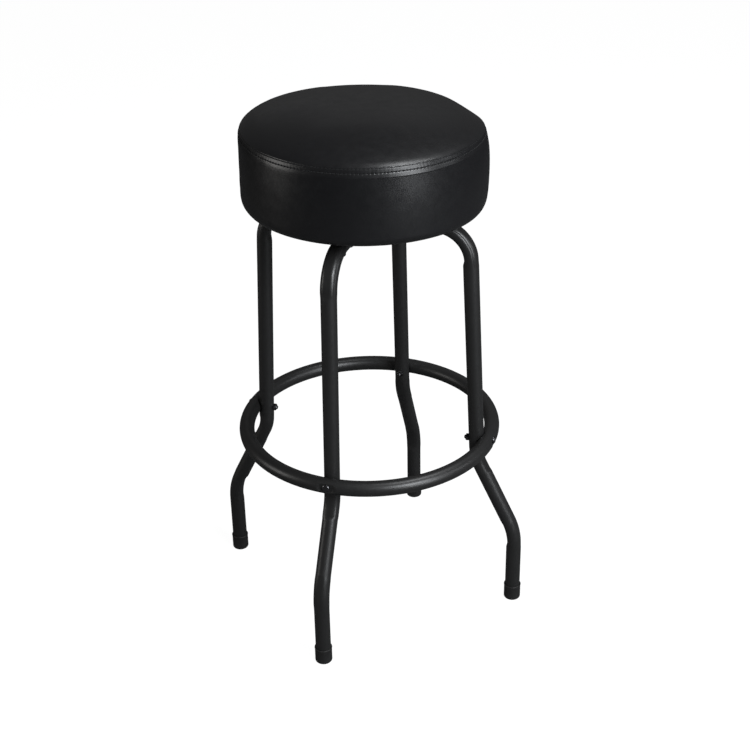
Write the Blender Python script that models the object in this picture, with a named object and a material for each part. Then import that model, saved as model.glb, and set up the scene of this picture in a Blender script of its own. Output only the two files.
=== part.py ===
"""
A padded swivel stool: four bent tube legs, a foot ring bolted round them and a round seat on a ball swivel.

The origin is on the floor under the stool's axis, +Z is up and the front is -Y. All lengths are in metres.
A reach is a distance from the stool's axis, and a height is a distance from the floor.
"""

import math

import bmesh
import bpy
from mathutils import Matrix, Vector

# Fits and cuts
FIT_GAP = 0.0003
BOLT_PLAY = 0.0005
CUT_OVERRUN = 0.002
MERGE_DISTANCE = 0.000001
DRILL_SIDES = 8
SMOOTH_ANGLE = math.radians(40)

# The four legs stand on the diagonals, so that the stool's front is between two of them
STATIONS = {"back_right": 45, "back_left": 135, "front_left": 225, "front_right": 315}

# Leg tube: a flat run under the seat, a sharp bend, a splayed upright, a knee out and a knee back
TUBE_RADIUS = 0.0111
TUBE_WALL = 0.0015
TUBE_SIDES = 10
TOP_RUN_HEIGHT = 0.6009
INNER_END_REACH = 0.034
TOP_CORNER_REACH = 0.1497
UPPER_KNEE_REACH = 0.1657
UPPER_KNEE_HEIGHT = 0.2409
LOWER_KNEE_HEIGHT = 0.1202
FOOT_REACH = 0.2250
TOP_BEND_RADIUS = 0.048
UPPER_KNEE_BEND_RADIUS = 0.060
LOWER_KNEE_BEND_RADIUS = 0.097
TOP_CRIMP = 0.0026
KNEE_CRIMP = 0.0032
TOP_BEND_STEPS = 7
KNEE_STEPS = 3
CRIMP_EDGE_SHARE = 0.25

# Foot cap and the plug in the inner end of each leg
CAP_WALL = 0.0009
CAP_BASE = 0.004
CAP_HEIGHT = 0.025
CAP_LIP = 0.0005
CAP_LIP_HEIGHT = 0.0022
CAP_EDGE_ROUND = 0.0025
CAP_SIDES = 24
PLUG_FLANGE = 0.002
PLUG_DEPTH = 0.012

# Foot ring, pressed over the legs: it lies outside them, and its inner side is dimpled round each leg
RING_HEIGHT = 0.2737
RING_TUBE_RADIUS = 0.0111
RING_TUBE_WALL = 0.0015
RING_SADDLE_DEPTH = 0.0053
RING_TUBE_SIDES = 12
RING_BORE_SIDES = 8
RING_BORE_STEPS = 32
RING_STEP_SHARES = (0, 0.036, 0.058, 0.08, 0.11, 0.16, 0.26, 0.44, 0.7, 1)
RING_DENT_DEPTH = 0.0013
RING_DENT_HALF_LENGTH = 0.013

# Bolts and nuts that hold the ring to the legs
RING_BOLT_RADIUS = 0.003
RING_BOLT_HEAD_RADIUS = 0.0048
RING_BOLT_HEAD_HEIGHT = 0.0030
RING_BOLT_SOCKET_RADIUS = 0.0020
RING_BOLT_SOCKET_DEPTH = 0.0016
RING_BOLT_TIP = 0.005
RING_NUT_HALF_WIDTH = 0.005
RING_NUT_HEIGHT = 0.005
FASTENER_SIDES = 12

# Bolts and nuts that hold the legs under the lower swivel plate
LEG_BOLT_RADIUS = 0.003
LEG_BOLT_HALF_WIDTH = 0.005
LEG_BOLT_HEAD_HEIGHT = 0.004
LEG_BOLT_REACHES = {"inner": 0.066, "outer": 0.097}
LEG_NUT_HALF_WIDTH = 0.005
LEG_NUT_HEIGHT = 0.0045

# Ball swivel: two pressed plates with a race each, and the balls in their cage between them
PLATE_SIDES = 24
LOWER_PLATE_HALF_WIDTH = 0.087
LOWER_PLATE_THICKNESS = 0.0025
UPPER_PLATE_HALF_WIDTH = 0.078
UPPER_PLATE_THICKNESS = 0.002
PLATE_CORNER_RADIUS = 0.015
PLATE_SPACE = 0.0107
RACE_REACH = 0.047
RACE_HALF_LAND = 0.0055
RACE_GROOVE_DEPTH = 0.0016
RACE_SLOPE = 0.003
BALL_RADIUS = 0.0035
BALL_COUNT = 10
BALL_SEGMENTS = 6
BALL_RINGS = 4
CAGE_HALF_WIDTH = 0.0065
CAGE_THICKNESS = 0.001

# Pivot bolt through the middle of both plates, with its head in the upper plate's dish
PIVOT_RADIUS = 0.005
PIVOT_HEAD_RADIUS = 0.010
PIVOT_HEAD_HEIGHT = 0.0038
PIVOT_TIP = 0.003
PIVOT_BUSHING_RADIUS = 0.012
PIVOT_WASHER_RADIUS = 0.0105
PIVOT_WASHER_THICKNESS = 0.002
PIVOT_NUT_HALF_WIDTH = 0.0085
PIVOT_NUT_HEIGHT = 0.008
DISH_RADIUS = 0.0155
DISH_SLOPE = 0.0045

# Seat board and what is under it
BOARD_RADIUS = 0.150
BOARD_THICKNESS = 0.015
COLLAR_SIDES = 24
DUST_COVER_THICKNESS = 0.0008
SCREW_REACH = 0.095
SCREW_RADIUS = 0.0022
SCREW_HEAD_RADIUS = 0.004
SCREW_HEAD_HEIGHT = 0.002
SCREW_LENGTH = 0.014

# Cushion: side band from the rolled lower edge to the seam, and a crowned top panel above the seam
COVER_THICKNESS = 0.0012
BASE_EDGE_RADIUS = 0.1676
SEAM_RADIUS = 0.1650
BAND_HEIGHT = 0.1056
SIDE_BULGE = 0.0020
LOWER_EDGE_ROUND = 0.0136
FLANGE_INNER_RADIUS = 0.138
CROWN_RISE = 0.029
CROWN_POWER = 3.2
CUSHION_SIDES = 32
CROWN_STEP_SHARES = (0, 0.28, 0.5, 0.66, 0.79, 0.89, 0.96, 1)
SIDE_STEP_SHARES = (0, 0.12, 0.35, 0.65, 1)
LOWER_EDGE_STEPS = 3

# Heights of the stack, from the legs up
LOWER_PLATE_BOTTOM = TOP_RUN_HEIGHT + TUBE_RADIUS + FIT_GAP
LOWER_PLATE_TOP = LOWER_PLATE_BOTTOM + LOWER_PLATE_THICKNESS
BALL_HEIGHT = LOWER_PLATE_TOP + PLATE_SPACE / 2
UPPER_PLATE_BOTTOM = LOWER_PLATE_TOP + PLATE_SPACE
UPPER_PLATE_TOP = UPPER_PLATE_BOTTOM + UPPER_PLATE_THICKNESS
DUST_COVER_BOTTOM = UPPER_PLATE_TOP + FIT_GAP
DUST_COVER_TOP = DUST_COVER_BOTTOM + DUST_COVER_THICKNESS
BOARD_BOTTOM = DUST_COVER_TOP + FIT_GAP
BOARD_TOP = BOARD_BOTTOM + BOARD_THICKNESS
SEAT_BOTTOM = BOARD_BOTTOM - FIT_GAP - COVER_THICKNESS
SEAM_HEIGHT = SEAT_BOTTOM + BAND_HEIGHT

# Corners of the leg's centre line, as reach and height
LEG_CORNERS = (
    (INNER_END_REACH, TOP_RUN_HEIGHT),
    (TOP_CORNER_REACH, TOP_RUN_HEIGHT),
    (UPPER_KNEE_REACH, UPPER_KNEE_HEIGHT),
    (FOOT_REACH, LOWER_KNEE_HEIGHT),
    (FOOT_REACH, CAP_BASE + FIT_GAP),
)
# Radius, crimp and steps of each bend, for the tube's skin
LEG_BENDS = (
    (TOP_BEND_RADIUS, TOP_CRIMP, TOP_BEND_STEPS),
    (UPPER_KNEE_BEND_RADIUS, KNEE_CRIMP, KNEE_STEPS),
    (LOWER_KNEE_BEND_RADIUS, KNEE_CRIMP, KNEE_STEPS),
)

# Colours are linear RGB
POWDER_COAT = ("powder_coat_black", (0.014, 0.014, 0.015), 0.45, 0.2)
VINYL = ("vinyl_black", (0.016, 0.016, 0.018), 0.42, 0.0)
RUBBER = ("rubber_black", (0.012, 0.012, 0.012), 0.7, 0.0)
BLACK_STEEL = ("black_oxide_steel", (0.020, 0.020, 0.022), 0.38, 0.8)
ZINC_STEEL = ("zinc_plated_steel", (0.55, 0.56, 0.58), 0.32, 1.0)
BALL_STEEL = ("bearing_steel", (0.66, 0.67, 0.69), 0.15, 1.0)
NYLON = ("nylon_white", (0.70, 0.70, 0.66), 0.5, 0.0)
PLYWOOD = ("plywood", (0.55, 0.38, 0.21), 0.7, 0.0)
FOAM = ("foam_cream", (0.78, 0.70, 0.45), 0.95, 0.0)
DUST_CLOTH = ("dust_cloth_black", (0.018, 0.018, 0.018), 0.95, 0.0)


def clear_scene():
    for old in list(bpy.data.objects):
        bpy.data.objects.remove(old, do_unlink=True)


def material(finish):
    name, colour, roughness, metallic = finish
    made = bpy.data.materials.get(name)
    if made is None:
        made = bpy.data.materials.new(name)
        made.use_nodes = True
        shader = made.node_tree.nodes["Principled BSDF"]
        shader.inputs["Base Color"].default_value = (*colour, 1)
        shader.inputs["Roughness"].default_value = roughness
        shader.inputs["Metallic"].default_value = metallic
        made.diffuse_color = (*colour, 1)
    return made


def node(name, mesh, finish, place=(0, 0, 0), turn=(0, 0, 0), parent=None):
    """One piece of the stool, with a mesh and a finish of its own"""
    shape = mesh.copy()
    shape.name = name
    shape.materials.clear()
    shape.materials.append(material(finish))
    shape.shade_smooth()
    shape.set_sharp_from_angle(angle=SMOOTH_ANGLE)
    piece = bpy.data.objects.new(name, shape)
    piece.location = place
    piece.rotation_euler = turn
    piece.parent = parent
    bpy.context.scene.collection.objects.link(piece)
    return piece


def empty(name, turn=0.0):
    """An axis or a station that pieces are placed under"""
    guide = bpy.data.objects.new(name, None)
    guide.rotation_euler = (0, 0, turn)
    bpy.context.scene.collection.objects.link(guide)
    return guide


def lofted(rings, closed):
    """A closed skin through rings of equal count, with capped ends unless the last ring joins the first"""
    work = bmesh.new()
    made = [[work.verts.new(point) for point in ring] for ring in rings]
    pairs = list(zip(made, made[1:]))
    if closed:
        pairs.append((made[-1], made[0]))
    for ring, following in pairs:
        for corner in range(len(ring)):
            work.faces.new((ring[corner - 1], ring[corner], following[corner], following[corner - 1]))
    if not closed:
        for ring in (made[0], made[-1]):
            if (ring[0].co - ring[1].co).length > MERGE_DISTANCE:
                work.faces.new(ring)
    bmesh.ops.remove_doubles(work, verts=work.verts, dist=MERGE_DISTANCE)
    bmesh.ops.recalc_face_normals(work, faces=work.faces)
    mesh = bpy.data.meshes.new("lofted")
    work.to_mesh(mesh)
    work.free()
    return mesh


def round_outline(angle, radius):
    return radius


def hexagon_outline(angle, half_width):
    """Distance from the middle of a hexagon to its side, with a corner at angle 0"""
    sector = math.tau / 6
    return half_width / math.cos((angle % sector) - sector / 2)


def plate_outline(angle, half_width):
    """Distance from the middle of a square plate with rounded corners to its edge"""
    across = abs(math.cos(angle))
    along = abs(math.sin(angle))
    straight = half_width / max(across, along)
    corner = half_width - PLATE_CORNER_RADIUS
    if straight * min(across, along) <= corner:
        return straight
    middle = corner * (across + along)
    return middle + math.sqrt(middle**2 - 2 * corner**2 + PLATE_CORNER_RADIUS**2)


def turned(profile, sides, closed=False):
    """A profile turned about local Z; a point is a size, a height and, if it isn't round, an outline"""
    rings = []
    for size, height, *outline in profile:
        reach = outline[0] if outline else round_outline
        ring = []
        for side in range(sides):
            angle = math.tau * side / sides
            out = reach(angle, size)
            ring.append(Vector((out * math.cos(angle), out * math.sin(angle), height)))
        rings.append(ring)
    return lofted(rings, closed)


def carved(mesh, cutters):
    """The mesh with each cutter's mesh, placed by its matrix, cut out of it"""
    body = bpy.data.objects.new("carved", mesh)
    bpy.context.scene.collection.objects.link(body)
    tools = []
    for cutter, matrix in cutters:
        tool = bpy.data.objects.new("cutter", cutter)
        tool.matrix_world = matrix
        tool.hide_render = True
        tool.display_type = "WIRE"
        bpy.context.scene.collection.objects.link(tool)
        cut = body.modifiers.new("cut", "BOOLEAN")
        cut.operation = "DIFFERENCE"
        cut.solver = "EXACT"
        cut.object = tool
        tools.append(tool)
    bpy.context.view_layer.update()
    graph = bpy.context.evaluated_depsgraph_get()
    result = bpy.data.meshes.new_from_object(body.evaluated_get(graph))
    for spent in (body, *tools):
        bpy.data.objects.remove(spent, do_unlink=True)
    return result


def drill(radius, start, end):
    """
    A round cutter along local Z whose flat sides lie at the radius. It is turned by half a side, so that
    its corners miss the edges of what it cuts.
    """
    half_side = math.pi / DRILL_SIDES
    corner_radius = radius / math.cos(half_side)
    cutter = turned([(corner_radius, start), (corner_radius, end)], DRILL_SIDES)
    cutter.transform(Matrix.Rotation(half_side, 4, "Z"))
    return cutter


def at(x=0.0, y=0.0, z=0.0):
    return Matrix.Translation((x, y, z))


def outwards(reach, height, azimuth=0.0):
    """Places local +Z on a radius of the stool, pointing away from its axis"""
    lying = Matrix.Rotation(math.pi / 2, 4, "Y")
    return Matrix.Rotation(azimuth, 4, "Z") @ at(reach, 0, height) @ lying


def left_of(heading):
    return Vector((-math.sin(heading), math.cos(heading)))


def bent_path(corners, bends, crimp_share):
    """
    Stations along a polyline with rounded corners: a place, a heading and the crimp on the left or right.
    The crimp starts inside the bend by a share of a step, or with no share a wall's thickness before it.
    """
    places = [Vector(corner) for corner in corners]
    first = places[1] - places[0]
    stations = [(places[0], math.atan2(first.y, first.x), 0.0)]
    for before, corner, after, bend in zip(places, places[1:], places[2:], bends):
        radius, crimp, steps = bend
        coming = corner - before
        heading = math.atan2(coming.y, coming.x)
        turn = coming.angle_signed(after - corner) * -1
        side = math.copysign(1, turn)
        start = corner - coming.normalized() * radius * math.tan(abs(turn) / 2)
        centre = start + left_of(heading) * radius * side
        along = [0, *range(1, steps), steps]
        if crimp_share:
            along = [0, crimp_share, *range(1, steps), steps - crimp_share, steps]
        else:
            stations.append((start - coming.normalized() * TUBE_WALL, heading, 0.0))
        for step in along:
            straight = crimp_share and step in (0, steps)
            direction = heading + turn * step / steps
            depth = 0.0 if straight else crimp * side
            stations.append((centre - left_of(direction) * radius * side, direction, depth))
    last = places[-1] - places[-2]
    stations.append((places[-1], math.atan2(last.y, last.x), 0.0))
    return stations


def tube_rings(stations, radius):
    """Rings round the stations of a path in the local XZ plane, flattened on the crimped side"""
    rings = []
    for place, heading, crimp in stations:
        ring = []
        for side in range(TUBE_SIDES):
            angle = math.tau * side / TUBE_SIDES
            across = radius * math.cos(angle)
            if crimp > 0:
                across = min(across, radius - crimp)
            if crimp < 0:
                across = max(across, -radius - crimp)
            centre = place + left_of(heading) * across
            ring.append(Vector((centre.x, radius * math.sin(angle), centre.y)))
        rings.append(ring)
    return rings


def leg_at(height):
    """Reach of a leg's centre line below its top bend at a height, and how fast it grows downwards"""
    stations = bent_path(LEG_CORNERS, LEG_BENDS, CRIMP_EDGE_SHARE)
    for (upper, _, _), (lower, _, _) in zip(stations, stations[1:]):
        if lower.y <= height < upper.y:
            slope = (lower.x - upper.x) / (upper.y - lower.y)
            return upper.x + (upper.y - height) * slope, slope
    return FOOT_REACH, 0.0


def leg_skin_at(height):
    """Reach of a leg's centre line at a height, and the reach that half of its tube and its gap take up"""
    reach, slope = leg_at(height)
    return reach, (TUBE_RADIUS + FIT_GAP) * math.hypot(1, slope)


def ring_reach():
    """Reach of the ring's centre line: just outside the legs, less the depth of its saddles"""
    reach, half = leg_skin_at(RING_HEIGHT)
    return reach + half + RING_TUBE_RADIUS - RING_SADDLE_DEPTH


def leg_mesh():
    """A hollow bent leg in its own XZ plane, with its bolt holes"""
    bore_bends = [(radius, crimp, max(1, steps - steps // 3)) for radius, crimp, steps in LEG_BENDS]
    outer = tube_rings(bent_path(LEG_CORNERS, LEG_BENDS, CRIMP_EDGE_SHARE), TUBE_RADIUS)
    bore = tube_rings(bent_path(LEG_CORNERS, bore_bends, 0), TUBE_RADIUS - TUBE_WALL)
    tube = lofted([*outer, *reversed(bore)], closed=True)
    ring_hole_reach, slope = leg_at(RING_HEIGHT)
    half = TUBE_RADIUS + CUT_OVERRUN
    ring_half = half * math.hypot(1, slope)
    ring_hole = drill(RING_BOLT_RADIUS + BOLT_PLAY, -ring_half, ring_half)
    plate_hole = drill(LEG_BOLT_RADIUS + BOLT_PLAY, -half, half)
    holes = [(ring_hole, outwards(ring_hole_reach, RING_HEIGHT))]
    for reach in LEG_BOLT_REACHES.values():
        holes.append((plate_hole, at(reach, 0, TOP_RUN_HEIGHT)))
    return carved(tube, holes)


def cap_mesh():
    """A rubber cup that the leg's lower end stands in"""
    inner = TUBE_RADIUS + FIT_GAP
    outer = inner + CAP_WALL
    profile = [
        (0, 0),
        (outer - CAP_EDGE_ROUND, 0),
        (outer, CAP_EDGE_ROUND),
        (outer, CAP_HEIGHT - CAP_LIP_HEIGHT),
        (outer + CAP_LIP, CAP_HEIGHT - CAP_LIP_HEIGHT / 2),
        (outer, CAP_HEIGHT),
        (inner, CAP_HEIGHT),
        (inner, CAP_BASE),
        (0, CAP_BASE),
    ]
    return turned(profile, CAP_SIDES)


def plug_mesh():
    """A plug with its stem along +Z in the tube's bore and its flange against the tube's end"""
    stem = TUBE_RADIUS - TUBE_WALL - FIT_GAP
    profile = [
        (0, -PLUG_FLANGE),
        (TUBE_RADIUS, -PLUG_FLANGE),
        (TUBE_RADIUS, 0),
        (stem, 0),
        (stem, PLUG_DEPTH),
        (0, PLUG_DEPTH),
    ]
    return turned(profile, TUBE_SIDES)


def ring_steps():
    """Angles round the ring, close together at each leg, where the tube is pressed"""
    quarter = math.tau / len(STATIONS)
    steps = []
    for azimuth in STATIONS.values():
        for share in (*[-s for s in RING_STEP_SHARES[:0:-1]], *RING_STEP_SHARES[:-1]):
            steps.append((math.radians(azimuth), share * quarter / 2))
    return steps


def pressed(reach, height, offset, wall):
    """
    A point of the ring's tube after pressing, as its new reach. The offset is its angle from the nearest
    leg. The inner side is pushed out round the leg, and the outer side is dented under the bolt's head.
    """
    middle = ring_reach()
    leg_reach, leg_half = leg_skin_at(height)
    clear = TUBE_RADIUS + FIT_GAP + wall
    sideways = reach * math.sin(offset)
    if abs(sideways) < clear and reach < middle:
        bulge = (leg_half + wall) * math.sqrt(1 - (sideways / clear) ** 2)
        reach = max(reach, (leg_reach + bulge) / math.cos(offset))
    along = abs(sideways) / RING_DENT_HALF_LENGTH
    if along < 1 and reach > middle:
        dent = RING_DENT_DEPTH * (1 - along**2)
        reach = min(reach, middle + RING_TUBE_RADIUS - wall - dent)
    return reach


def ring_mesh():
    """The hollow foot ring, with its saddles, dents and bolt holes"""
    shells = []
    first_leg = math.radians(min(STATIONS.values()))
    even = [(first_leg, math.tau * step / RING_BORE_STEPS) for step in range(RING_BORE_STEPS)]
    for steps, sides, wall in ((ring_steps(), RING_TUBE_SIDES, 0), (even, RING_BORE_SIDES, RING_TUBE_WALL)):
        radius = RING_TUBE_RADIUS - wall
        rings = []
        for azimuth, offset in steps:
            quarter = math.tau / len(STATIONS)
            nearest = (offset + quarter / 2) % quarter - quarter / 2
            ring = []
            for side in range(sides):
                angle = math.tau * side / sides
                height = RING_HEIGHT + radius * math.sin(angle)
                reach = pressed(ring_reach() + radius * math.cos(angle), height, nearest, wall)
                turn = azimuth + offset
                ring.append(Vector((reach * math.cos(turn), reach * math.sin(turn), height)))
            rings.append(ring)
        shells.append(lofted(rings, closed=True))
    skin, bore = shells
    half = RING_TUBE_RADIUS + CUT_OVERRUN
    hole = drill(RING_BOLT_RADIUS + BOLT_PLAY, -half, half)
    cuts = [(bore, Matrix())]
    for azimuth in STATIONS.values():
        cuts.append((hole, outwards(ring_reach(), RING_HEIGHT, math.radians(azimuth))))
    return carved(skin, cuts)


def bolt_mesh(radius, length, head_size, head_height, outline=round_outline, socket=None):
    """A bolt with its head above local Z = 0 and its shank below"""
    profile = [(0, head_height)]
    if socket:
        socket_radius, socket_depth = socket
        profile = [
            (0, head_height - socket_depth),
            (socket_radius, head_height - socket_depth),
            (socket_radius, head_height),
            (socket_radius + (head_size - socket_radius) / 2, head_height),
            (head_size, head_height / 2),
        ]
    else:
        profile.append((head_size, head_height, outline))
    profile += [
        (head_size, 0, outline),
        (radius, 0),
        (radius, -length),
        (0, -length),
    ]
    return turned(profile, FASTENER_SIDES)


def nut_mesh(half_width, height, bolt_radius):
    """A hexagon nut standing on local Z = 0"""
    bore = bolt_radius + FIT_GAP
    profile = [
        (half_width, 0, hexagon_outline),
        (half_width, height, hexagon_outline),
        (bore, height),
        (bore, 0),
    ]
    return turned(profile, FASTENER_SIDES, closed=True)


def collar_mesh(inner, outer, height):
    """A washer or a bushing standing on local Z = 0"""
    return turned([(outer, 0), (outer, height), (inner, height), (inner, 0)], COLLAR_SIDES, closed=True)


def ring_bolt_seat():
    """Reach of the underside of a ring bolt's head, in the dent on the ring's outer side"""
    return ring_reach() + RING_TUBE_RADIUS - RING_DENT_DEPTH + FIT_GAP


def ring_nut_seat():
    """Reach of a ring nut's face on the leg's inner side, with room for the leg's slope across the nut"""
    reach, half = leg_skin_at(RING_HEIGHT)
    slope = leg_at(RING_HEIGHT)[1]
    return reach - half - RING_NUT_HALF_WIDTH * abs(slope)


def build_leg_station(name, azimuth, shared):
    """One leg with its cap, its plug and its fasteners, under an empty that is turned to the leg's place"""
    station = empty("station_" + name, math.radians(azimuth))
    bolt_place = (ring_bolt_seat(), 0, RING_HEIGHT)
    nut_place = (ring_nut_seat() - RING_NUT_HEIGHT, 0, RING_HEIGHT)
    node("leg_" + name, shared["leg"], POWDER_COAT, parent=station)
    node("foot_cap_" + name, shared["cap"], RUBBER, (FOOT_REACH, 0, 0), parent=station)
    plug_place = (INNER_END_REACH - FIT_GAP, 0, TOP_RUN_HEIGHT)
    sideways = (0, math.pi / 2, 0)
    node("leg_plug_" + name, shared["plug"], RUBBER, plug_place, sideways, station)
    node("ring_bolt_" + name, shared["ring_bolt"], BLACK_STEEL, bolt_place, sideways, station)
    node("ring_nut_" + name, shared["ring_nut"], BLACK_STEEL, nut_place, sideways, station)
    for where, reach in LEG_BOLT_REACHES.items():
        bolt_place = (reach, 0, TOP_RUN_HEIGHT - TUBE_RADIUS - FIT_GAP)
        upside_down = (math.pi, 0, 0)
        node(f"leg_bolt_{where}_{name}", shared["leg_bolt"], BLACK_STEEL, bolt_place, upside_down, station)
        nut_place = (reach, 0, LOWER_PLATE_TOP + FIT_GAP)
        node(f"leg_nut_{where}_{name}", shared["leg_nut"], ZINC_STEEL, nut_place, parent=station)


def build_base():
    """The foot ring and the four legs with what is fixed to each"""
    ring_bolt_end = ring_nut_seat() - RING_NUT_HEIGHT - RING_BOLT_TIP
    leg_bolt_length = 2 * TUBE_RADIUS + LOWER_PLATE_THICKNESS + 3 * FIT_GAP + LEG_NUT_HEIGHT
    shared = {
        "leg": leg_mesh(),
        "cap": cap_mesh(),
        "plug": plug_mesh(),
        "ring_bolt": bolt_mesh(
            RING_BOLT_RADIUS,
            ring_bolt_seat() - ring_bolt_end,
            RING_BOLT_HEAD_RADIUS,
            RING_BOLT_HEAD_HEIGHT,
            socket=(RING_BOLT_SOCKET_RADIUS, RING_BOLT_SOCKET_DEPTH),
        ),
        "ring_nut": nut_mesh(RING_NUT_HALF_WIDTH, RING_NUT_HEIGHT, RING_BOLT_RADIUS),
        "leg_bolt": bolt_mesh(
            LEG_BOLT_RADIUS,
            leg_bolt_length,
            LEG_BOLT_HALF_WIDTH,
            LEG_BOLT_HEAD_HEIGHT,
            outline=hexagon_outline,
        ),
        "leg_nut": nut_mesh(LEG_NUT_HALF_WIDTH, LEG_NUT_HEIGHT, LEG_BOLT_RADIUS),
    }
    for name, azimuth in STATIONS.items():
        build_leg_station(name, azimuth, shared)
    node("foot_ring", ring_mesh(), POWDER_COAT)


def race_profile(level, towards):
    """Reach and height of a pressed race, from its inner to its outer foot, as it rises towards the balls"""
    bank = math.hypot(1, RACE_GROOVE_DEPTH / RACE_HALF_LAND)
    groove = BALL_HEIGHT - towards * (BALL_RADIUS + FIT_GAP) * bank
    shoulder = groove + towards * RACE_GROOVE_DEPTH
    foot = RACE_HALF_LAND + RACE_SLOPE
    return [
        (RACE_REACH - foot, level),
        (RACE_REACH - RACE_HALF_LAND, shoulder),
        (RACE_REACH, groove),
        (RACE_REACH + RACE_HALF_LAND, shoulder),
        (RACE_REACH + foot, level),
    ]


def pressed_plate(faces, thickness, half_width):
    """A square pressed plate through a profile that is given for its upper face"""
    edge = faces[-1][1]
    upper = [*faces, (half_width, edge, plate_outline)]
    lower = [(size, height - thickness, *outline) for size, height, *outline in reversed(upper)]
    return turned([*upper, *lower], PLATE_SIDES, closed=True)


def build_swivel(seat_axis, cage_axis):
    """The two plates, the balls in their cage and the pivot bolt with what is on it"""
    pivot_hole = PIVOT_RADIUS + BOLT_PLAY
    lower_faces = [(pivot_hole, LOWER_PLATE_TOP), *race_profile(LOWER_PLATE_TOP, 1)]
    lower = pressed_plate(lower_faces, LOWER_PLATE_THICKNESS, LOWER_PLATE_HALF_WIDTH)
    bolt_hole = drill(LEG_BOLT_RADIUS + BOLT_PLAY, -CUT_OVERRUN, LOWER_PLATE_THICKNESS + CUT_OVERRUN)
    bolt_holes = []
    for azimuth in STATIONS.values():
        for reach in LEG_BOLT_REACHES.values():
            turn = Matrix.Rotation(math.radians(azimuth), 4, "Z")
            bolt_holes.append((bolt_hole, turn @ at(reach, 0, LOWER_PLATE_BOTTOM)))
    node("swivel_lower_plate", carved(lower, bolt_holes), BLACK_STEEL)

    dish_top = UPPER_PLATE_TOP - PIVOT_HEAD_HEIGHT - 2 * FIT_GAP
    race = [
        (reach, height + UPPER_PLATE_THICKNESS) for reach, height in race_profile(UPPER_PLATE_BOTTOM, -1)
    ]
    upper_faces = [
        (pivot_hole, dish_top),
        (DISH_RADIUS, dish_top),
        (DISH_RADIUS + DISH_SLOPE, UPPER_PLATE_TOP),
        *race,
    ]
    upper = pressed_plate(upper_faces, UPPER_PLATE_THICKNESS, UPPER_PLATE_HALF_WIDTH)
    screw_hole = drill(SCREW_RADIUS + FIT_GAP, -CUT_OVERRUN, UPPER_PLATE_THICKNESS + CUT_OVERRUN)
    screw_holes = [(screw_hole, place @ at(z=UPPER_PLATE_BOTTOM)) for place in screw_places()]
    node("swivel_upper_plate", carved(upper, screw_holes), BLACK_STEEL, parent=seat_axis)

    cage_faces = [
        (RACE_REACH - CAGE_HALF_WIDTH, -CAGE_THICKNESS / 2),
        (RACE_REACH + CAGE_HALF_WIDTH, -CAGE_THICKNESS / 2),
        (RACE_REACH + CAGE_HALF_WIDTH, CAGE_THICKNESS / 2),
        (RACE_REACH - CAGE_HALF_WIDTH, CAGE_THICKNESS / 2),
    ]
    cage = with_balls(turned(cage_faces, PLATE_SIDES, closed=True))
    node("ball_cage", cage, BALL_STEEL, (0, 0, BALL_HEIGHT), parent=cage_axis)

    build_pivot(dish_top)


def with_balls(cage):
    """The flat cage ring with the balls that it holds joined to it"""
    body = bpy.data.objects.new("cage", cage)
    bpy.context.scene.collection.objects.link(body)
    work = bmesh.new()
    for ball in range(BALL_COUNT):
        turn = Matrix.Rotation(math.tau * ball / BALL_COUNT, 4, "Z")
        bmesh.ops.create_uvsphere(
            work,
            u_segments=BALL_SEGMENTS,
            v_segments=BALL_RINGS,
            radius=BALL_RADIUS,
            matrix=turn @ at(x=RACE_REACH),
        )
    mesh = bpy.data.meshes.new("balls")
    work.to_mesh(mesh)
    work.free()
    balls = bpy.data.objects.new("balls", mesh)
    bpy.context.scene.collection.objects.link(balls)
    join = body.modifiers.new("join", "BOOLEAN")
    join.operation = "UNION"
    join.solver = "EXACT"
    join.object = balls
    bpy.context.view_layer.update()
    graph = bpy.context.evaluated_depsgraph_get()
    result = bpy.data.meshes.new_from_object(body.evaluated_get(graph))
    for spent in (body, balls):
        bpy.data.objects.remove(spent, do_unlink=True)
    return result


def build_pivot(dish_top):
    """The pivot clamps a bushing between the plates' middles, and is held to the lower plate"""
    head_height = dish_top + FIT_GAP
    washer_height = LOWER_PLATE_BOTTOM - FIT_GAP - PIVOT_WASHER_THICKNESS
    nut_height = washer_height - FIT_GAP - PIVOT_NUT_HEIGHT
    length = head_height - nut_height + PIVOT_TIP
    bolt = bolt_mesh(PIVOT_RADIUS, length, PIVOT_HEAD_RADIUS, PIVOT_HEAD_HEIGHT)
    node("pivot_bolt", bolt, ZINC_STEEL, (0, 0, head_height))
    bushing_height = dish_top - UPPER_PLATE_THICKNESS - LOWER_PLATE_TOP - 2 * FIT_GAP
    bushing = collar_mesh(PIVOT_RADIUS + FIT_GAP, PIVOT_BUSHING_RADIUS, bushing_height)
    node("pivot_bushing", bushing, NYLON, (0, 0, LOWER_PLATE_TOP + FIT_GAP))
    washer = collar_mesh(PIVOT_RADIUS + FIT_GAP, PIVOT_WASHER_RADIUS, PIVOT_WASHER_THICKNESS)
    node("pivot_washer", washer, ZINC_STEEL, (0, 0, washer_height))
    nut = nut_mesh(PIVOT_NUT_HALF_WIDTH, PIVOT_NUT_HEIGHT, PIVOT_RADIUS)
    node("pivot_nut", nut, ZINC_STEEL, (0, 0, nut_height))


def screw_places():
    """The four corners of the upper plate, where it is screwed to the board"""
    places = []
    for azimuth in STATIONS.values():
        places.append(Matrix.Rotation(math.radians(azimuth), 4, "Z") @ at(x=SCREW_REACH))
    return places


def crown(radius, edge_radius, edge_height, rise):
    """Height of the crowned top at a radius: nearly flat in the middle and steep towards the seam"""
    return edge_height + rise * (1 - (radius / edge_radius) ** CROWN_POWER)


def crown_points(inset, edge_height):
    """The crown from the middle to the seam, as it lies under an inset from the cover's outer face"""
    edge = SEAM_RADIUS - inset
    rise = SEAM_HEIGHT + CROWN_RISE - inset - edge_height
    return [(edge * share, crown(edge * share, edge, edge_height, rise)) for share in CROWN_STEP_SHARES]


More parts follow.
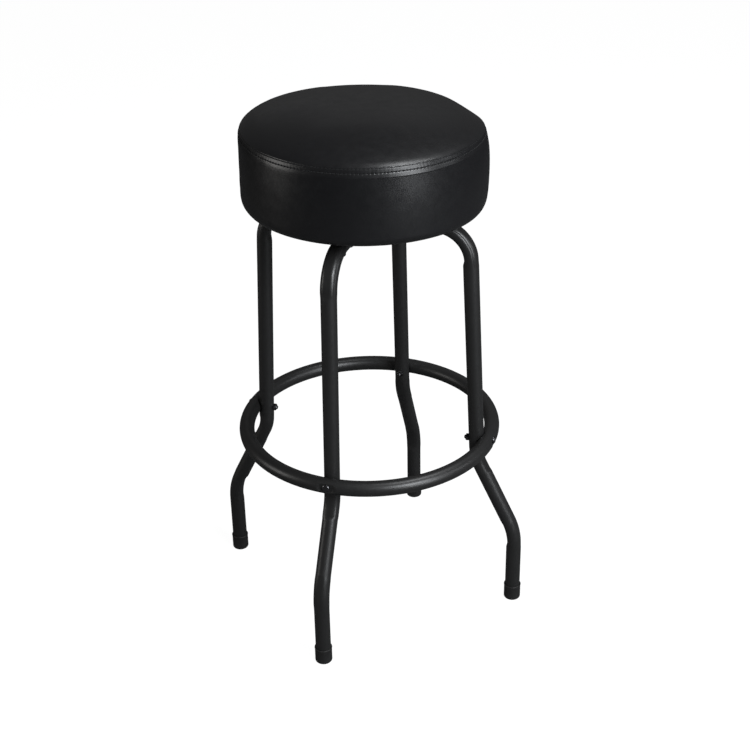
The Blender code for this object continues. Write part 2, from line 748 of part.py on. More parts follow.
def side_points(inset, top, foot):
    """The cushion's side from the seam down and round its lower edge, under an inset from the outer face"""
    points = []
    fillet_height = SEAT_BOTTOM + LOWER_EDGE_ROUND
    for share in SIDE_STEP_SHARES:
        drawn_in = SEAM_RADIUS + (BASE_EDGE_RADIUS - SEAM_RADIUS) * share
        bulge = SIDE_BULGE * math.sin(math.pi * share)
        points.append((drawn_in + bulge - inset, top + (fillet_height - top) * share))
    for step in range(1, LOWER_EDGE_STEPS + 1):
        angle = math.pi / 2 * step / LOWER_EDGE_STEPS
        around = LOWER_EDGE_ROUND - inset
        middle = BASE_EDGE_RADIUS - LOWER_EDGE_ROUND
        points.append((middle + around * math.cos(angle), fillet_height - around * math.sin(angle)))
    points.append((foot, fillet_height - (LOWER_EDGE_ROUND - inset)))
    return points


def build_seat(seat_axis):
    """The board with its screws and dust cover, the foam, and the cover's band and top panel"""
    pilot = drill(SCREW_RADIUS + FIT_GAP, -CUT_OVERRUN, SCREW_LENGTH)
    board_profile = [
        (0, BOARD_BOTTOM),
        (BOARD_RADIUS, BOARD_BOTTOM),
        (BOARD_RADIUS, BOARD_TOP),
        (0, BOARD_TOP),
    ]
    pilots = [(pilot, place @ at(z=BOARD_BOTTOM)) for place in screw_places()]
    board = carved(turned(board_profile, CUSHION_SIDES), pilots)
    node("seat_board", board, PLYWOOD, parent=seat_axis)

    dust_radius = FLANGE_INNER_RADIUS - FIT_GAP
    dust_profile = [
        (0, DUST_COVER_BOTTOM),
        (dust_radius, DUST_COVER_BOTTOM),
        (dust_radius, DUST_COVER_TOP),
        (0, DUST_COVER_TOP),
    ]
    dust_holes = [(pilot, place @ at(z=DUST_COVER_BOTTOM)) for place in screw_places()]
    dust_cover = carved(turned(dust_profile, CUSHION_SIDES), dust_holes)
    node("dust_cover", dust_cover, DUST_CLOTH, parent=seat_axis)

    head_height = UPPER_PLATE_BOTTOM - FIT_GAP
    screw = bolt_mesh(SCREW_RADIUS, SCREW_LENGTH, SCREW_HEAD_RADIUS, SCREW_HEAD_HEIGHT)
    for name, azimuth in STATIONS.items():
        angle = math.radians(azimuth)
        place = (SCREW_REACH * math.cos(angle), SCREW_REACH * math.sin(angle), head_height)
        node("plate_screw_" + name, screw, ZINC_STEEL, place, (math.pi, 0, 0), seat_axis)

    band_top = SEAM_HEIGHT - FIT_GAP / 2
    band = [
        *side_points(0, band_top, FLANGE_INNER_RADIUS),
        *reversed(side_points(COVER_THICKNESS, band_top, FLANGE_INNER_RADIUS)),
    ]
    node("cover_side_band", turned(band, CUSHION_SIDES, closed=True), VINYL, parent=seat_axis)

    panel_edge = SEAM_HEIGHT + FIT_GAP / 2
    panel = [*crown_points(0, panel_edge), *reversed(crown_points(COVER_THICKNESS, panel_edge))]
    node("cover_top_panel", turned(panel, CUSHION_SIDES), VINYL, parent=seat_axis)

    inset = COVER_THICKNESS + FIT_GAP
    skirt_radius = BOARD_RADIUS + FIT_GAP
    foam = [
        *crown_points(inset, SEAM_HEIGHT)[::2],
        *side_points(inset, SEAM_HEIGHT, skirt_radius),
        (skirt_radius, BOARD_TOP + FIT_GAP),
        (0, BOARD_TOP + FIT_GAP),
    ]
    node("seat_foam", turned(foam, CUSHION_SIDES), FOAM, parent=seat_axis)


def main():
    clear_scene()
    seat_axis = empty("seat_swivel_axis")
    cage_axis = empty("ball_cage_axis")
    build_base()
    build_swivel(seat_axis, cage_axis)
    build_seat(seat_axis)
    bpy.context.view_layer.update()


main()
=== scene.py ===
import math
import random

import bpy
import numpy as np
from mathutils import Matrix, Vector


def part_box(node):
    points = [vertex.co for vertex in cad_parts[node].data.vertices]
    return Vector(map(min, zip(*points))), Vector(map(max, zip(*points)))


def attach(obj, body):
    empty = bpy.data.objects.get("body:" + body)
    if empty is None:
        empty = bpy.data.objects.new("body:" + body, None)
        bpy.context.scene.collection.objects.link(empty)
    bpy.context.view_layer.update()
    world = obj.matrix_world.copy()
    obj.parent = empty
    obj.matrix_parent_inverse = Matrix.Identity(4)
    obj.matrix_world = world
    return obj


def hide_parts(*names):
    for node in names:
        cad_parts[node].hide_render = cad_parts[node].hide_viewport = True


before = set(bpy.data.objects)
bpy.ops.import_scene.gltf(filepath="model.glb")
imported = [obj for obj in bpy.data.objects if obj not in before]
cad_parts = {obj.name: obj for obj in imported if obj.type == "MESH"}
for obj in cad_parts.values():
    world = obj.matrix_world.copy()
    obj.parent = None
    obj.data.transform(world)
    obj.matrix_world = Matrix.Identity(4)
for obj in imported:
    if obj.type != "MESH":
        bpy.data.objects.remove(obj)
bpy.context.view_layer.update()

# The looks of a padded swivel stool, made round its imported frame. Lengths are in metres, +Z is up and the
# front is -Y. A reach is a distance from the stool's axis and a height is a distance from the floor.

# Camera, as fitted to the photograph
CAMERA_PLACE = (-0.81337, -1.67281, 1.38681)
CAMERA_TURN = math.radians(-26.2305)
CAMERA_DOWN = math.radians(29.0873)
CAMERA_ROLL = math.radians(-1.1255)
CAMERA_LENS_MM = 69.93
CAMERA_SENSOR_MM = 36.0
CAMERA_AZIMUTH = math.atan2(CAMERA_PLACE[1], CAMERA_PLACE[0])

# The legs stand on the diagonals
STATIONS = {"back_right": 45, "back_left": 135, "front_left": 225, "front_right": 315}

# Edges that turn by more than these degrees stay sharp
HARD_EDGE = 40
SOFT_EDGE = 60

# Gaps that keep pieces that touch from overlapping
FIT_GAP = 0.0001
SEAT_GAP = 0.00005

# Sides of the foot caps and of the hexagons
ROUND_SIDES = 72

# Tube of the legs and the ring
TUBE_RADIUS = 0.0111
TUBE_WALL = 0.0015
TUBE_SIDES = 96

# Legs. Each bend has a corner, a radius and the marks that its die has left
TOP_RUN_HEIGHT = 0.6009
INNER_END_REACH = 0.034
LEG_CORNERS = (
    (INNER_END_REACH, TOP_RUN_HEIGHT),
    (0.1497, TOP_RUN_HEIGHT),
    (0.1657, 0.2409),
    (0.2250, 0.1202),
    (0.2250, 0.0043),
)
FOOT_REACH = LEG_CORNERS[-1][0]
LEG_BEND_RADII = (0.048, 0.060, 0.097)
# For each bend: depths of its crimp inside, its flat outside and its crease, how far these start before the
# bend and end after it, and the length that they fade over
DIE_MARKS = (
    (0.0023, 0.0011, 0.00038, 0.004, 0.0085, 0.010),
    (0.0018, 0.0006, 0.0, 0.006, 0.0170, 0.006),
    (0.0018, 0.0006, 0.0, 0.005, 0.0060, 0.010),
)
CREASE_PLACE = -0.0059
CREASE_WIDTH = 0.0008
CRIMP_WIDENS_SHARE = 0.2
CRIMP_SOFTNESS = 0.0005
CRIMP_FLOOR_RADIUS = 0.026
LEG_STEP = 0.004
LEG_FINE_STEP = 0.0009
LEG_FINE_REACH = 0.024
LEG_OPEN_ROWS = 3
# Places along a leg are rounded to these digits and compared with this slack
PLACE_DIGITS = 6
TINY = 1e-9

# Rubber foot caps, with a groove on each side of the rib under them
CAP_RADIUS = 0.0124
CAP_HEIGHT = 0.025
CAP_FLOOR = 0.0042
CAP_EDGE = 0.0030
CAP_EDGE_STEPS = 6
CAP_LIP = 0.0004
CAP_LIP_HEIGHT = 0.0024
CAP_LIP_STEPS = 8
CAP_MOUTH_EASE = 0.0002
CAP_MOUTH_DROP = 0.0003
CAP_RIB_INSIDE = 0.0040
CAP_RIB_OUTSIDE = 0.0050
CAP_TREAD_INSIDE = 0.0075
CAP_GROOVE_DEPTH = 0.0006
CAP_GROOVE_SLOPE = 0.0005

# Plugs in the legs' inner ends
PLUG_FLANGE = 0.0019
PLUG_DOME_POINTS = 7
PLUG_SHOULDER = 0.00002
PLUG_DEPTH = 0.010
PLUG_PLAY = 0.0002

# Foot ring
RING_HEIGHT = 0.2737
RING_SEAT_GAP = 0.0003
RING_SADDLE_DEPTH = 0.0053
RING_SADDLE_SOFTNESS = 0.0011
RING_SADDLE_FLARE = 4
RING_CLEARANCE = 0.0002
RING_DENT_DEPTH = 0.0029
RING_DENT_HALF_LENGTH = 0.0135
RING_DENT_HALF_HEIGHT = 0.0078
RING_DENT_END_SHARE = 1.25
RING_DENT_FADE_SHARE = 0.95
RING_SIDES = 64
RING_FINE_HALF_SPAN = 0.030
RING_FINE_STEP = 0.0011
RING_COARSE_STEP = 0.0060

# Bolts and nuts, all of one thread
BOLT_RADIUS = 0.003
HEXAGON_HALF_WIDTH = 0.005
CHAMFER_START_SHARE = 0.97
CHAMFER_DROP_SHARE = 0.55
CHAMFER_STEP_SHARES = (0, 0.33, 0.66, 1)
NUT_SINK = 0.0006
RING_HEAD_RADIUS = 0.0056
RING_HEAD_HEIGHT = 0.0031
RING_BOLT_TIP = 0.0026
RING_NUT_HEIGHT = 0.0041
LEG_HEAD_HEIGHT = 0.004
LEG_BOLT_TIP = 0.0012
LEG_BOLT_REACHES = {"inner": 0.066, "outer": 0.097}
LEG_NUT_HEIGHT = 0.0045

# Studs, which reach a little way into their heads and shanks
STUD_SIDES = 32
STUD_CHAMFER = 0.0008
HEAD_OVERLAP = 0.0005
THREAD_OVERLAP = 0.0002
THREAD_PITCH = 0.001
THREAD_DEPTH = 0.0003
THREAD_STEPS = 8

# Pan heads with a cross recess. Shares are of the head's radius, of its height and of the recess's size
HEAD_SIDES = 64
HEAD_EASE = 0.0001
HEAD_DOME_POINTS = 10
HEAD_RIM_SHARE = 0.25
HEAD_DOME_SHARE = 0.68
HEAD_FLAT_SHARE = 0.45
HEAD_CROWN_SHARES = (0.25, 0.98)
RECESS_HALF_LENGTH = 0.0024
RECESS_HALF_WIDTH = 0.00065
RECESS_DEPTH = 0.0018
RECESS_OVERRUN = 0.001
RECESS_OVERRUN_SHARE = 1.15
RECESS_FLOOR_SHARE = 0.45
RECESS_TAPER_SHARE = 0.4
RECESS_SECOND_ARM_SHARE = 1.02

# Cushion
SEAT_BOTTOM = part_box("cover_side_band")[0][2]
SEAM_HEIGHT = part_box("cover_side_band")[1][2]
SEAM_RADIUS = 0.1645
STRIP_EDGE_RADIUS = 0.1677
BAND_START_RADIUS = 0.1674
BASE_EDGE_RADIUS = 0.1676
SIDE_BULGE = 0.0014
LOWER_EDGE_ROUND = 0.0136
FILLET_HEIGHT = SEAT_BOTTOM + LOWER_EDGE_ROUND
FLANGE_INNER_RADIUS = 0.138
FLANGE_RISE = 0.001
CROWN_RISE = 0.0284
CROWN_POWER = 3.0
CROWN_HOLE_RADIUS = 0.002
EDGE_ROLL = 0.0022
EDGE_ROLL_LENGTH = 0.005
BOARD_RADIUS = 0.1503
BOARD_TOP = 0.6442
COVER_THICKNESS = 0.0012
CROWN_ROWS = 26
BAND_ROWS = 24
ROUND_ROWS = 12
FLANGE_ROWS = 10
FINE_ABOVE = 0.008
FINE_BELOW = 0.014
FINE_ROW_STEP = 0.0004

# Seam strip, from the seam down to where it steps into the band, or rolls into it away from its sharp side
STRIP_LENGTH = 0.0115
STRIP_STEP_LENGTH = 0.0018
STRIP_SOFTNESS = 0.0005
STRIP_SHARP_SIDE = 278
STRIP_SHARP_SPAN = 38

# Stitches and their holes. Rows are distances along the cover from the seam
STITCH_COUNT = 207
STITCH_COLUMNS = 8
PLAIN_COLUMNS = 2
UPPER_ROW = -0.0002
LOWER_ROW = 0.0060
SEAM_CREASE = 0.0007
SEAM_CREASE_WIDTH = 0.0006
ROW_CHANNEL = 0.00018
ROW_CHANNEL_WIDTH = 0.0007
HOLE_DEPTH = 0.0006
HOLE_WIDTH = 0.0007
HOLE_SHARES = {UPPER_ROW: 0.3, LOWER_ROW: 1.0}
PUCKER_DEPTH = 0.00002
PUCKER_WIDTH_SHARE = 0.6
THREAD_RADIUS = 0.00028
STITCH_SIDES = 8
STITCH_RINGS = 9
STITCH_END_SHARE = 0.05
STITCH_LIFT_SHARE = 1.2
STITCH_WIDTH_SHARE = 1.8
STITCH_TAPER_SHARE = 0.35
STITCH_TAPER_POWER = 6
STITCH_DIVE_POWER = 4

# Gathers, staples and the dust cloth under the seat
PLEAT_COUNT = 46
PLEAT_DEPTH = 0.0007
PLEAT_LENGTH = 0.020
PLEAT_FADE = 0.012
PLEAT_POWER = 0.6
STAPLE_COUNT = 46
STAPLE_REACH = 0.1445
# Half of a staple's line, as distances from its middle and upwards
STAPLE_HALF_LINE = ((0.0046, -0.0003), (0.0049, 0), (0.0050, 0.0012))
STAPLE_HALF_WIDTH = 0.0006
STAPLE_HALF_THICKNESS = 0.0002
STAPLE_TURN_PLAY = 0.01
STAPLE_REACH_PLAY = 0.0015
STAPLE_SKEW = 0.3
CLOTH_THICKNESS = 0.0004
CLOTH_HOLE_RADIUS = 0.004
CLOTH_FLAT_SHARE = 0.75
CLOTH_FLAT_ROWS = 12
CLOTH_EDGE_ROWS = 14
CLOTH_PLEAT_COLUMNS = 8
CLOTH_PUCKER = 0.00012
CLOTH_SAG = 0.00008

# How the cushion has settled: its lean, then the azimuths where its top edge and its lower roll differ
RIGHT_SIDE = math.radians(334)
CUSHION_SHIFT = 0.0010
CUSHION_TILT = 0.010
EDGE_FADE = 0.020
CROWN_FADE_POWER = 6
# Azimuth and span in degrees, extra power of the crown, then metres outwards and upwards
SETTLED_EDGES = (
    (358, 18, 0.0, -0.0046, -0.0026),
    (318, 26, 0.0, -0.0024, 0.0012),
    (272, 40, 0.0, -0.0006, 0.0028),
    (40, 26, 0.6, 0.0, 0.0),
    (138, 36, 1.5, 0.0018, 0.0012),
    (334, 55, -1.0, 0.0, 0.0),
    (52, 24, -0.4, 0.0, 0.0),
)
# Azimuth and span in degrees, then metres outwards, height above the bottom, span of that height and droop
SETTLED_ROLLS = (
    (322, 45, 0.0006, 0.003, 0.006, 0.0028),
    (160, 45, 0.0015, 0.016, 0.009, 0.0),
    (336, 30, -0.0013, 0.006, 0.009, 0.0),
    (156, 40, 0.0009, 0.032, 0.011, 0.0),
)
DROOP_SPAN = 0.018

# The foam's pressure on the cover, worked out by a cloth simulation
SWELL_COLUMNS = 96
SWELL_CROWN_ROWS = 22
SWELL_BAND_ROWS = 24
SWELL_PINNED_ROWS = 5
SWELL_FRAMES = 20
SWELL_PRESSURE = 4.0
SWELL_STIFFNESS = 40
SWELL_BENDING = 4
SWELL_LIMIT = 0.00025
SWELL_CALM_RADIUS = 0.07
SWELL_WAVES = 7
SWELL_SMOOTHING = 8
SWELL_SEED = 7
FOAM_LUMPS = 0.0003
FOAM_WAVES = (2, 3, 5, 7)
FOAM_DRIFT = 2

# Stage. The floor is a dim grey except to the camera, which sees it and the world as white
FLOOR_HALF_SIZE = 6.0
FLOOR_DROP = 0.0002
FLOOR_GREY = (0.12, 0.12, 0.12)
FLOOR_SHEEN = 0.1
FLOOR_GLOW = 0.97
GLOSSY_SHARE = 0.05
WORLD_LEVEL = 0.037
LAMP_TARGET = Vector((0, 0, 0.45))
LAMP_DISTANCE = 2.6
# Name, azimuth to the right of the camera's, elevation, size, power and colour
LAMPS = (
    ("key_upper", 35, 31, (0.9, 0.8), 53, (0.94, 0.97, 1.0)),
    ("key_lower", 41, 8, (1.0, 0.8), 23.5, (0.94, 0.97, 1.0)),
    ("high", 90, 71, (0.75, 0.75), 25, (0.96, 0.98, 1.0)),
    ("front", 0, 60, (0.9, 0.9), 1.5, (1.0, 1.0, 1.0)),
    ("fill", -80, 9, (1.0, 1.2), 13.5, (1.0, 0.98, 0.95)),
    ("back", 184, 28, (1.6, 0.8), 0.35, (1.0, 1.0, 1.0)),
    ("rim", 135, 54, (0.9, 0.6), 1.0, (0.95, 0.97, 1.0)),
    ("side", 78, 18, (0.7, 0.6), 5.0, (0.94, 0.97, 1.0)),
)


def unit(vector):
    return vector / np.linalg.norm(vector)


def smooth_step(value):
    """0 below 0, 1 above 1 and smooth between"""
    held = np.clip(value, 0, 1)
    return held * held * (3 - 2 * held)


def bump(distance, width):
    """1 at no distance, fading to nothing over a few widths"""
    return np.exp(-((distance / width) ** 2))


def near_azimuth(degrees, azimuth, span):
    """1 at an azimuth, fading to nothing round the circle"""
    return bump((degrees - azimuth + 180) % 360 - 180, span)


def softly_capped(value, limit, softness):
    """The smaller of a value and a limit, rounded where they meet"""
    return -softness * np.logaddexp(-value / softness, -limit / softness)


# Mesh parts, which are pairs of an array of points and a list of faces


def full_turn(count):
    """Angles of a full circle, from zero on"""
    return np.linspace(0, math.tau, count, endpoint=False)


def quarter_turn(count):
    """Angles of a quarter of a circle, without its start"""
    return np.linspace(0, math.pi / 2, count)[1:]


def ring_at(reach, height, angles):
    """Points round the Z axis. The reach and the height are one number, or one for each angle."""
    return np.stack([reach * np.cos(angles), reach * np.sin(angles), np.full(len(angles), height)], 1)


def grid(rings, closed=False):
    """A skin through rings of equal count. An open one has its ends filled."""
    rows = len(rings)
    count = len(rings[0])
    points = np.asarray(rings, dtype=float).reshape(-1, 3)
    faces = []
    for row in range(rows if closed else rows - 1):
        here = row * count
        after = (row + 1) % rows * count
        for corner in range(count):
            following = (corner + 1) % count
            faces.append((here + corner, here + following, after + following, after + corner))
    if not closed:
        faces.append(tuple(range(count - 1, -1, -1)))
        faces.append(tuple(range((rows - 1) * count, rows * count)))
    return points, faces


def turned(profile, sides, closed=False):
    """A profile of sizes, heights and optional outlines, turned about Z"""
    angles = full_turn(sides)
    rings = []
    for size, height, *outline in profile:
        reach = outline[0](angles, size) if outline else size
        rings.append(ring_at(reach, height, angles))
    return grid(rings, closed)


def joined(parts):
    """Several mesh parts as one"""
    points = []
    faces = []
    start = 0
    for part_points, part_faces in parts:
        points.append(part_points)
        faces += [tuple(start + corner for corner in face) for face in part_faces]
        start += len(part_points)
    return np.concatenate(points), faces


def placed(part, matrix):
    points, faces = part
    turn = np.array(matrix.to_3x3())
    return points @ turn.T + np.array(matrix.translation), faces


def mesh_part(piece):
    """A piece's mesh as a mesh part"""
    points = np.array([tuple(v.co) for v in piece.data.vertices])
    return points, [tuple(p.vertices) for p in piece.data.polygons]


def smooth(mesh, angle):
    mesh.shade_smooth()
    mesh.set_sharp_from_angle(angle=math.radians(angle))


def make_object(name, part, smooth_angle=HARD_EDGE):
    points, faces = part
    mesh = bpy.data.meshes.new(name)
    mesh.from_pydata([tuple(p) for p in points], [], faces)
    mesh.validate()
    smooth(mesh, smooth_angle)
    made = bpy.data.objects.new(name, mesh)
    bpy.context.scene.collection.objects.link(made)
    return made


def cut(piece, part):
    """Cuts a mesh part out of a piece"""
    tool = make_object("tool", part)
    modifier = piece.modifiers.new("cut", "BOOLEAN")
    modifier.operation = "DIFFERENCE"
    modifier.solver = "EXACT"
    modifier.object = tool
    bpy.context.view_layer.update()
    graph = bpy.context.evaluated_depsgraph_get()
    mesh = bpy.data.meshes.new_from_object(piece.evaluated_get(graph))
    piece.modifiers.clear()
    piece.data = mesh
    bpy.data.objects.remove(tool, do_unlink=True)
    smooth(mesh, HARD_EDGE)


# Materials


# Most of a noise texture's values lie between these two
TEXTURE_LOW = 0.3
TEXTURE_HIGH = 0.7


def add_node(tree, kind, values=(), links=(), **settings):
    """Adds a shader node with its settings, with values for some inputs and links to others"""
    node = tree.nodes.new(kind)
    for name, value in settings.items():
        setattr(node, name, value)
    for place, value in dict(values).items():
        node.inputs[place].default_value = value
    for place, output in dict(links).items():
        tree.links.new(output, node.inputs[place])
    return node


class Shader:
    """A material's node tree, with short ways to add to it"""

    def __init__(self, name, colour, roughness, metallic=0.0):
        self.material = bpy.data.materials.new(name)
        self.material.use_nodes = True
        self.material.diffuse_color = (*colour, 1)
        self.tree = self.material.node_tree
        self.surface = self.tree.nodes["Principled BSDF"]
        self.surface.inputs["Base Color"].default_value = (*colour, 1)
        self.surface.inputs["Roughness"].default_value = roughness
        self.surface.inputs["Metallic"].default_value = metallic
        self.place = self.tree.nodes.new("ShaderNodeTexCoord").outputs["Object"]

    def add(self, kind, values=(), links=(), **settings):
        return add_node(self.tree, kind, values, links, **settings)

    def drive(self, target, output):
        """Lets a node's output set one of the surface's inputs"""
        self.tree.links.new(output, self.surface.inputs[target])

    def noise(self, scale, detail=3.0, roughness=0.5, place=None):
        values = {"Scale": scale, "Detail": detail, "Roughness": roughness}
        return self.add("ShaderNodeTexNoise", values, {"Vector": place or self.place}).outputs["Fac"]

    def cells(self, scale):
        texture = self.add("ShaderNodeTexVoronoi", {"Scale": scale}, {"Vector": self.place})
        return texture.outputs["Distance"]

    def stretched(self, scale):
        return self.add("ShaderNodeMapping", {"Scale": scale}, {"Vector": self.place}).outputs["Vector"]

    def tint(self, value, first, second):
        values = {"A": (*first, 1), "B": (*second, 1)}
        mixed = self.add("ShaderNodeMix", values, {"Factor": value}, data_type="RGBA")
        self.drive("Base Color", mixed.outputs["Result"])

    def added(self, first, second, second_share):
        values = {1: second_share}
        total = self.add("ShaderNodeMath", values, {0: second, 2: first}, operation="MULTIPLY_ADD")
        return total.outputs["Value"]

    def roughen(self, value, low, high):
        """Spreads the part of a texture's range where most of it lies over a low and a high roughness"""
        values = {"From Min": TEXTURE_LOW, "From Max": TEXTURE_HIGH, "To Min": low, "To Max": high}
        spread = self.add("ShaderNodeMapRange", values, {"Value": value})
        self.drive("Roughness", spread.outputs["Result"])

    def raise_surface(self, value, strength, distance):
        values = {"Strength": strength, "Distance": distance}
        raised = self.add("ShaderNodeBump", values, {"Height": value})
        self.drive("Normal", raised.outputs["Normal"])


def powder_coat():
    made = Shader("powder_coat_black", (0.0140, 0.0138, 0.0140), 0.38)
    made.tint(made.noise(35), (0.0129, 0.0127, 0.0127), (0.0153, 0.0151, 0.0151))
    made.roughen(made.noise(160), 0.35, 0.41)
    made.raise_surface(made.added(made.noise(1400, 2), made.noise(350), 0.6), 0.18, 0.00012)
    return made.material


def vinyl():
    made = Shader("vinyl_black", (0.0062, 0.0062, 0.0070), 0.34)
    made.tint(made.noise(22), (0.0056, 0.0056, 0.0063), (0.0068, 0.0068, 0.0077))
    made.roughen(made.noise(90), 0.29, 0.36)
    pebbles = made.added(made.cells(1100), made.noise(1700, 2), 0.5)
    grain = made.added(pebbles, made.noise(460, 2), 0.6)
    made.raise_surface(grain, 0.2, 0.00009)
    return made.material


def thread():
    made = Shader("thread_black", (0.006, 0.006, 0.0065), 0.92)
    made.tint(made.noise(3000, 1), (0.004, 0.004, 0.0045), (0.009, 0.009, 0.010))
    made.raise_surface(made.noise(4200, 1), 0.4, 0.0001)
    return made.material


def rubber():
    made = Shader("rubber_black", (0.0105, 0.0101, 0.0101), 0.68)
    made.tint(made.noise(60), (0.0088, 0.0084, 0.0084), (0.0124, 0.0120, 0.0120))
    made.roughen(made.noise(240), 0.58, 0.74)
    made.raise_surface(made.noise(900), 0.25, 0.0002)
    return made.material


def plate_paint():
    made = Shader("plate_paint_black", (0.018, 0.018, 0.019), 0.34)
    made.tint(made.noise(40), (0.016, 0.016, 0.017), (0.021, 0.021, 0.022))
    made.roughen(made.noise(120), 0.28, 0.40)
    made.raise_surface(made.noise(500), 0.12, 0.0002)
    return made.material


def black_steel():
    made = Shader("black_oxide_steel", (0.110, 0.110, 0.116), 0.27, metallic=1.0)
    made.tint(made.noise(500), (0.095, 0.095, 0.100), (0.125, 0.124, 0.130))
    made.roughen(made.noise(700), 0.23, 0.33)
    made.raise_surface(made.noise(2500, 2), 0.08, 0.0001)
    return made.material


def zinc_steel():
    made = Shader("zinc_plated_steel", (0.55, 0.56, 0.58), 0.32, metallic=1.0)
    made.tint(made.noise(260), (0.50, 0.50, 0.49), (0.60, 0.62, 0.66))
    made.roughen(made.noise(420), 0.26, 0.42)
    made.raise_surface(made.noise(1800, 2), 0.1, 0.0001)
    return made.material


def bearing_steel():
    made = Shader("bearing_steel", (0.66, 0.67, 0.69), 0.15, metallic=1.0)
    made.tint(made.noise(400), (0.60, 0.61, 0.62), (0.70, 0.71, 0.73))
    made.roughen(made.noise(900), 0.12, 0.22)
    return made.material


def nylon():
    made = Shader("nylon_white", (0.70, 0.70, 0.66), 0.5)
    made.tint(made.noise(150), (0.66, 0.66, 0.61), (0.73, 0.73, 0.69))
    made.roughen(made.noise(300), 0.45, 0.56)
    return made.material


def plywood():
    made = Shader("plywood", (0.55, 0.38, 0.21), 0.7)
    layers = made.noise(1, 2, 0.5, made.stretched((14, 14, 620)))
    grain = made.noise(1, 4, 0.6, made.stretched((30, 900, 30)))
    made.tint(made.added(layers, grain, 0.5), (0.62, 0.44, 0.25), (0.42, 0.27, 0.14))
    made.roughen(grain, 0.6, 0.8)
    made.raise_surface(grain, 0.3, 0.0004)
    return made.material


def dust_cloth():
    made = Shader("dust_cloth_black", (0.018, 0.018, 0.018), 0.95)
    fibres = made.added(made.noise(1, 4, 0.7, made.stretched((2200, 300, 900))), made.cells(900), 0.5)
    made.tint(made.noise(800, 4, 0.7), (0.012, 0.012, 0.012), (0.028, 0.028, 0.028))
    made.raise_surface(fibres, 0.5, 0.0003)
    return made.material


METALS = (black_steel, zinc_steel, bearing_steel)
MAKERS = (powder_coat, vinyl, thread, rubber, plate_paint, *METALS, nylon, plywood, dust_cloth)
MATERIALS = {maker.__name__: maker() for maker in MAKERS}


# Legs


def leg_line():
    """
    The leg's centre line in the XZ plane: a function from a length along it to a place and a heading, its
    whole length, and for each bend its start, its end and its side, 1 to the left and -1 to the right
    """
    places = [np.array(corner) for corner in LEG_CORNERS]
    pieces = []
    bends = []
    start = places[0]
    done = 0.0
    for before, corner, after, radius in zip(places, places[1:], places[2:], LEG_BEND_RADII):
        coming = unit(corner - before)
        leaving = unit(after - corner)
        heading = math.atan2(coming[1], coming[0])
        turn = math.atan2(coming[0] * leaving[1] - coming[1] * leaving[0], coming @ leaving)
        run = radius * math.tan(abs(turn) / 2)
        bend_start = corner - coming * run
        pieces.append((done, start, heading, 0.0))
        done += np.linalg.norm(bend_start - start)
        pieces.append((done, bend_start, heading, math.copysign(1 / radius, turn)))
        bends.append((done, done + radius * abs(turn), math.copysign(1, turn)))
        done = bends[-1][1]
        start = corner + leaving * run
    pieces.append((done, start, math.atan2(leaving[1], leaving[0]), 0.0))

    def at(along):
        begun, origin, heading, curvature = [piece for piece in pieces if piece[0] <= along + TINY][-1]
        length = along - begun
        if not curvature:
            return origin + length * np.array([math.cos(heading), math.sin(heading)]), heading
        angle = heading + length * curvature
        sideways = (math.sin(angle) - math.sin(heading)) / curvature
        upwards = (math.cos(heading) - math.cos(angle)) / curvature
        return origin + np.array([sideways, upwards]), angle

    return at, done + np.linalg.norm(places[-1] - start), bends


def leg_rows():
    """Rows along a leg: place, heading, side of a bend, and the depths of its crimp, flat and crease"""
    at, whole, bends = leg_line()
    stops = set(np.round(np.linspace(0, whole, round(whole / LEG_STEP)), PLACE_DIGITS))
    for begin, end, _ in bends:
        first = begin - LEG_FINE_REACH
        last = end + LEG_FINE_REACH
        fine = np.linspace(first, last, round((last - first) / LEG_FINE_STEP))
        stops = {stop for stop in stops if not first < stop < last} | set(np.round(fine, PLACE_DIGITS))
    rows = []
    for along in sorted(stops):
        place, heading = at(along)
        side, depths = 1.0, (0.0, 0.0, 0.0)
        for (begin, end, bend_side), (crimp, flat, crease, early, late, fade) in zip(bends, DIE_MARKS):
            share = smooth_step((along - begin + early) / fade) * smooth_step((end + late - along) / fade)
            if share > 0:
                side, depths = bend_side, (crimp * share, flat * share, crease * share)
        rows.append((place, heading, side, *depths))
    return rows


def tube_skin(rows, radius):
    """Rings of a tube round rows of a path in the XZ plane, with the marks of its bends"""
    around = full_turn(TUBE_SIDES)
    rings = []
    for place, heading, side, crimp, flat, crease in rows:
        # Inwards is towards the bend's middle, and across is along the bend's axis
        inwards = radius * np.cos(around) * side
        across = (radius + crimp * CRIMP_WIDENS_SHARE) * np.sin(around)
        if crimp:
            softness = CRIMP_SOFTNESS * min(1, crimp / CRIMP_SOFTNESS)
            across = across - crease * np.sign(across) * bump(inwards - CREASE_PLACE, CREASE_WIDTH)
            floor = radius - crimp - across**2 / (2 * CRIMP_FLOOR_RADIUS)
            inwards = np.where(inwards > 0, softly_capped(inwards, floor, softness), inwards)
            inwards = -softly_capped(-inwards, radius - flat, softness)
        left = np.array([-math.sin(heading), math.cos(heading)])
        centre = place + np.outer(inwards * side, left)
        rings.append(np.stack([centre[:, 0], across, centre[:, 1]], 1))
    return rings


LEG_ROWS = leg_rows()


def leg_at(height):
    """Reach of the leg's centre line at a height below its top bend, and its growth per metre down"""
    low = [row for row in LEG_ROWS if row[0][1] < TOP_RUN_HEIGHT - LEG_BEND_RADII[0]]
    heights = np.array([row[0][1] for row in low])[::-1]
    reaches = np.array([row[0][0] for row in low])[::-1]
    reach = np.interp(height, heights, reaches)
    return reach, (np.interp(height - LEG_STEP, heights, reaches) - reach) / LEG_STEP


def leg_part():
    """The tube, open for a little way at its inner end, which its plug covers, and closed at its foot under
    its cap
    """
    outer = tube_skin(LEG_ROWS, TUBE_RADIUS)
    inner = tube_skin(LEG_ROWS[:LEG_OPEN_ROWS], TUBE_RADIUS - TUBE_WALL)
    return grid([*inner[::-1], *outer])


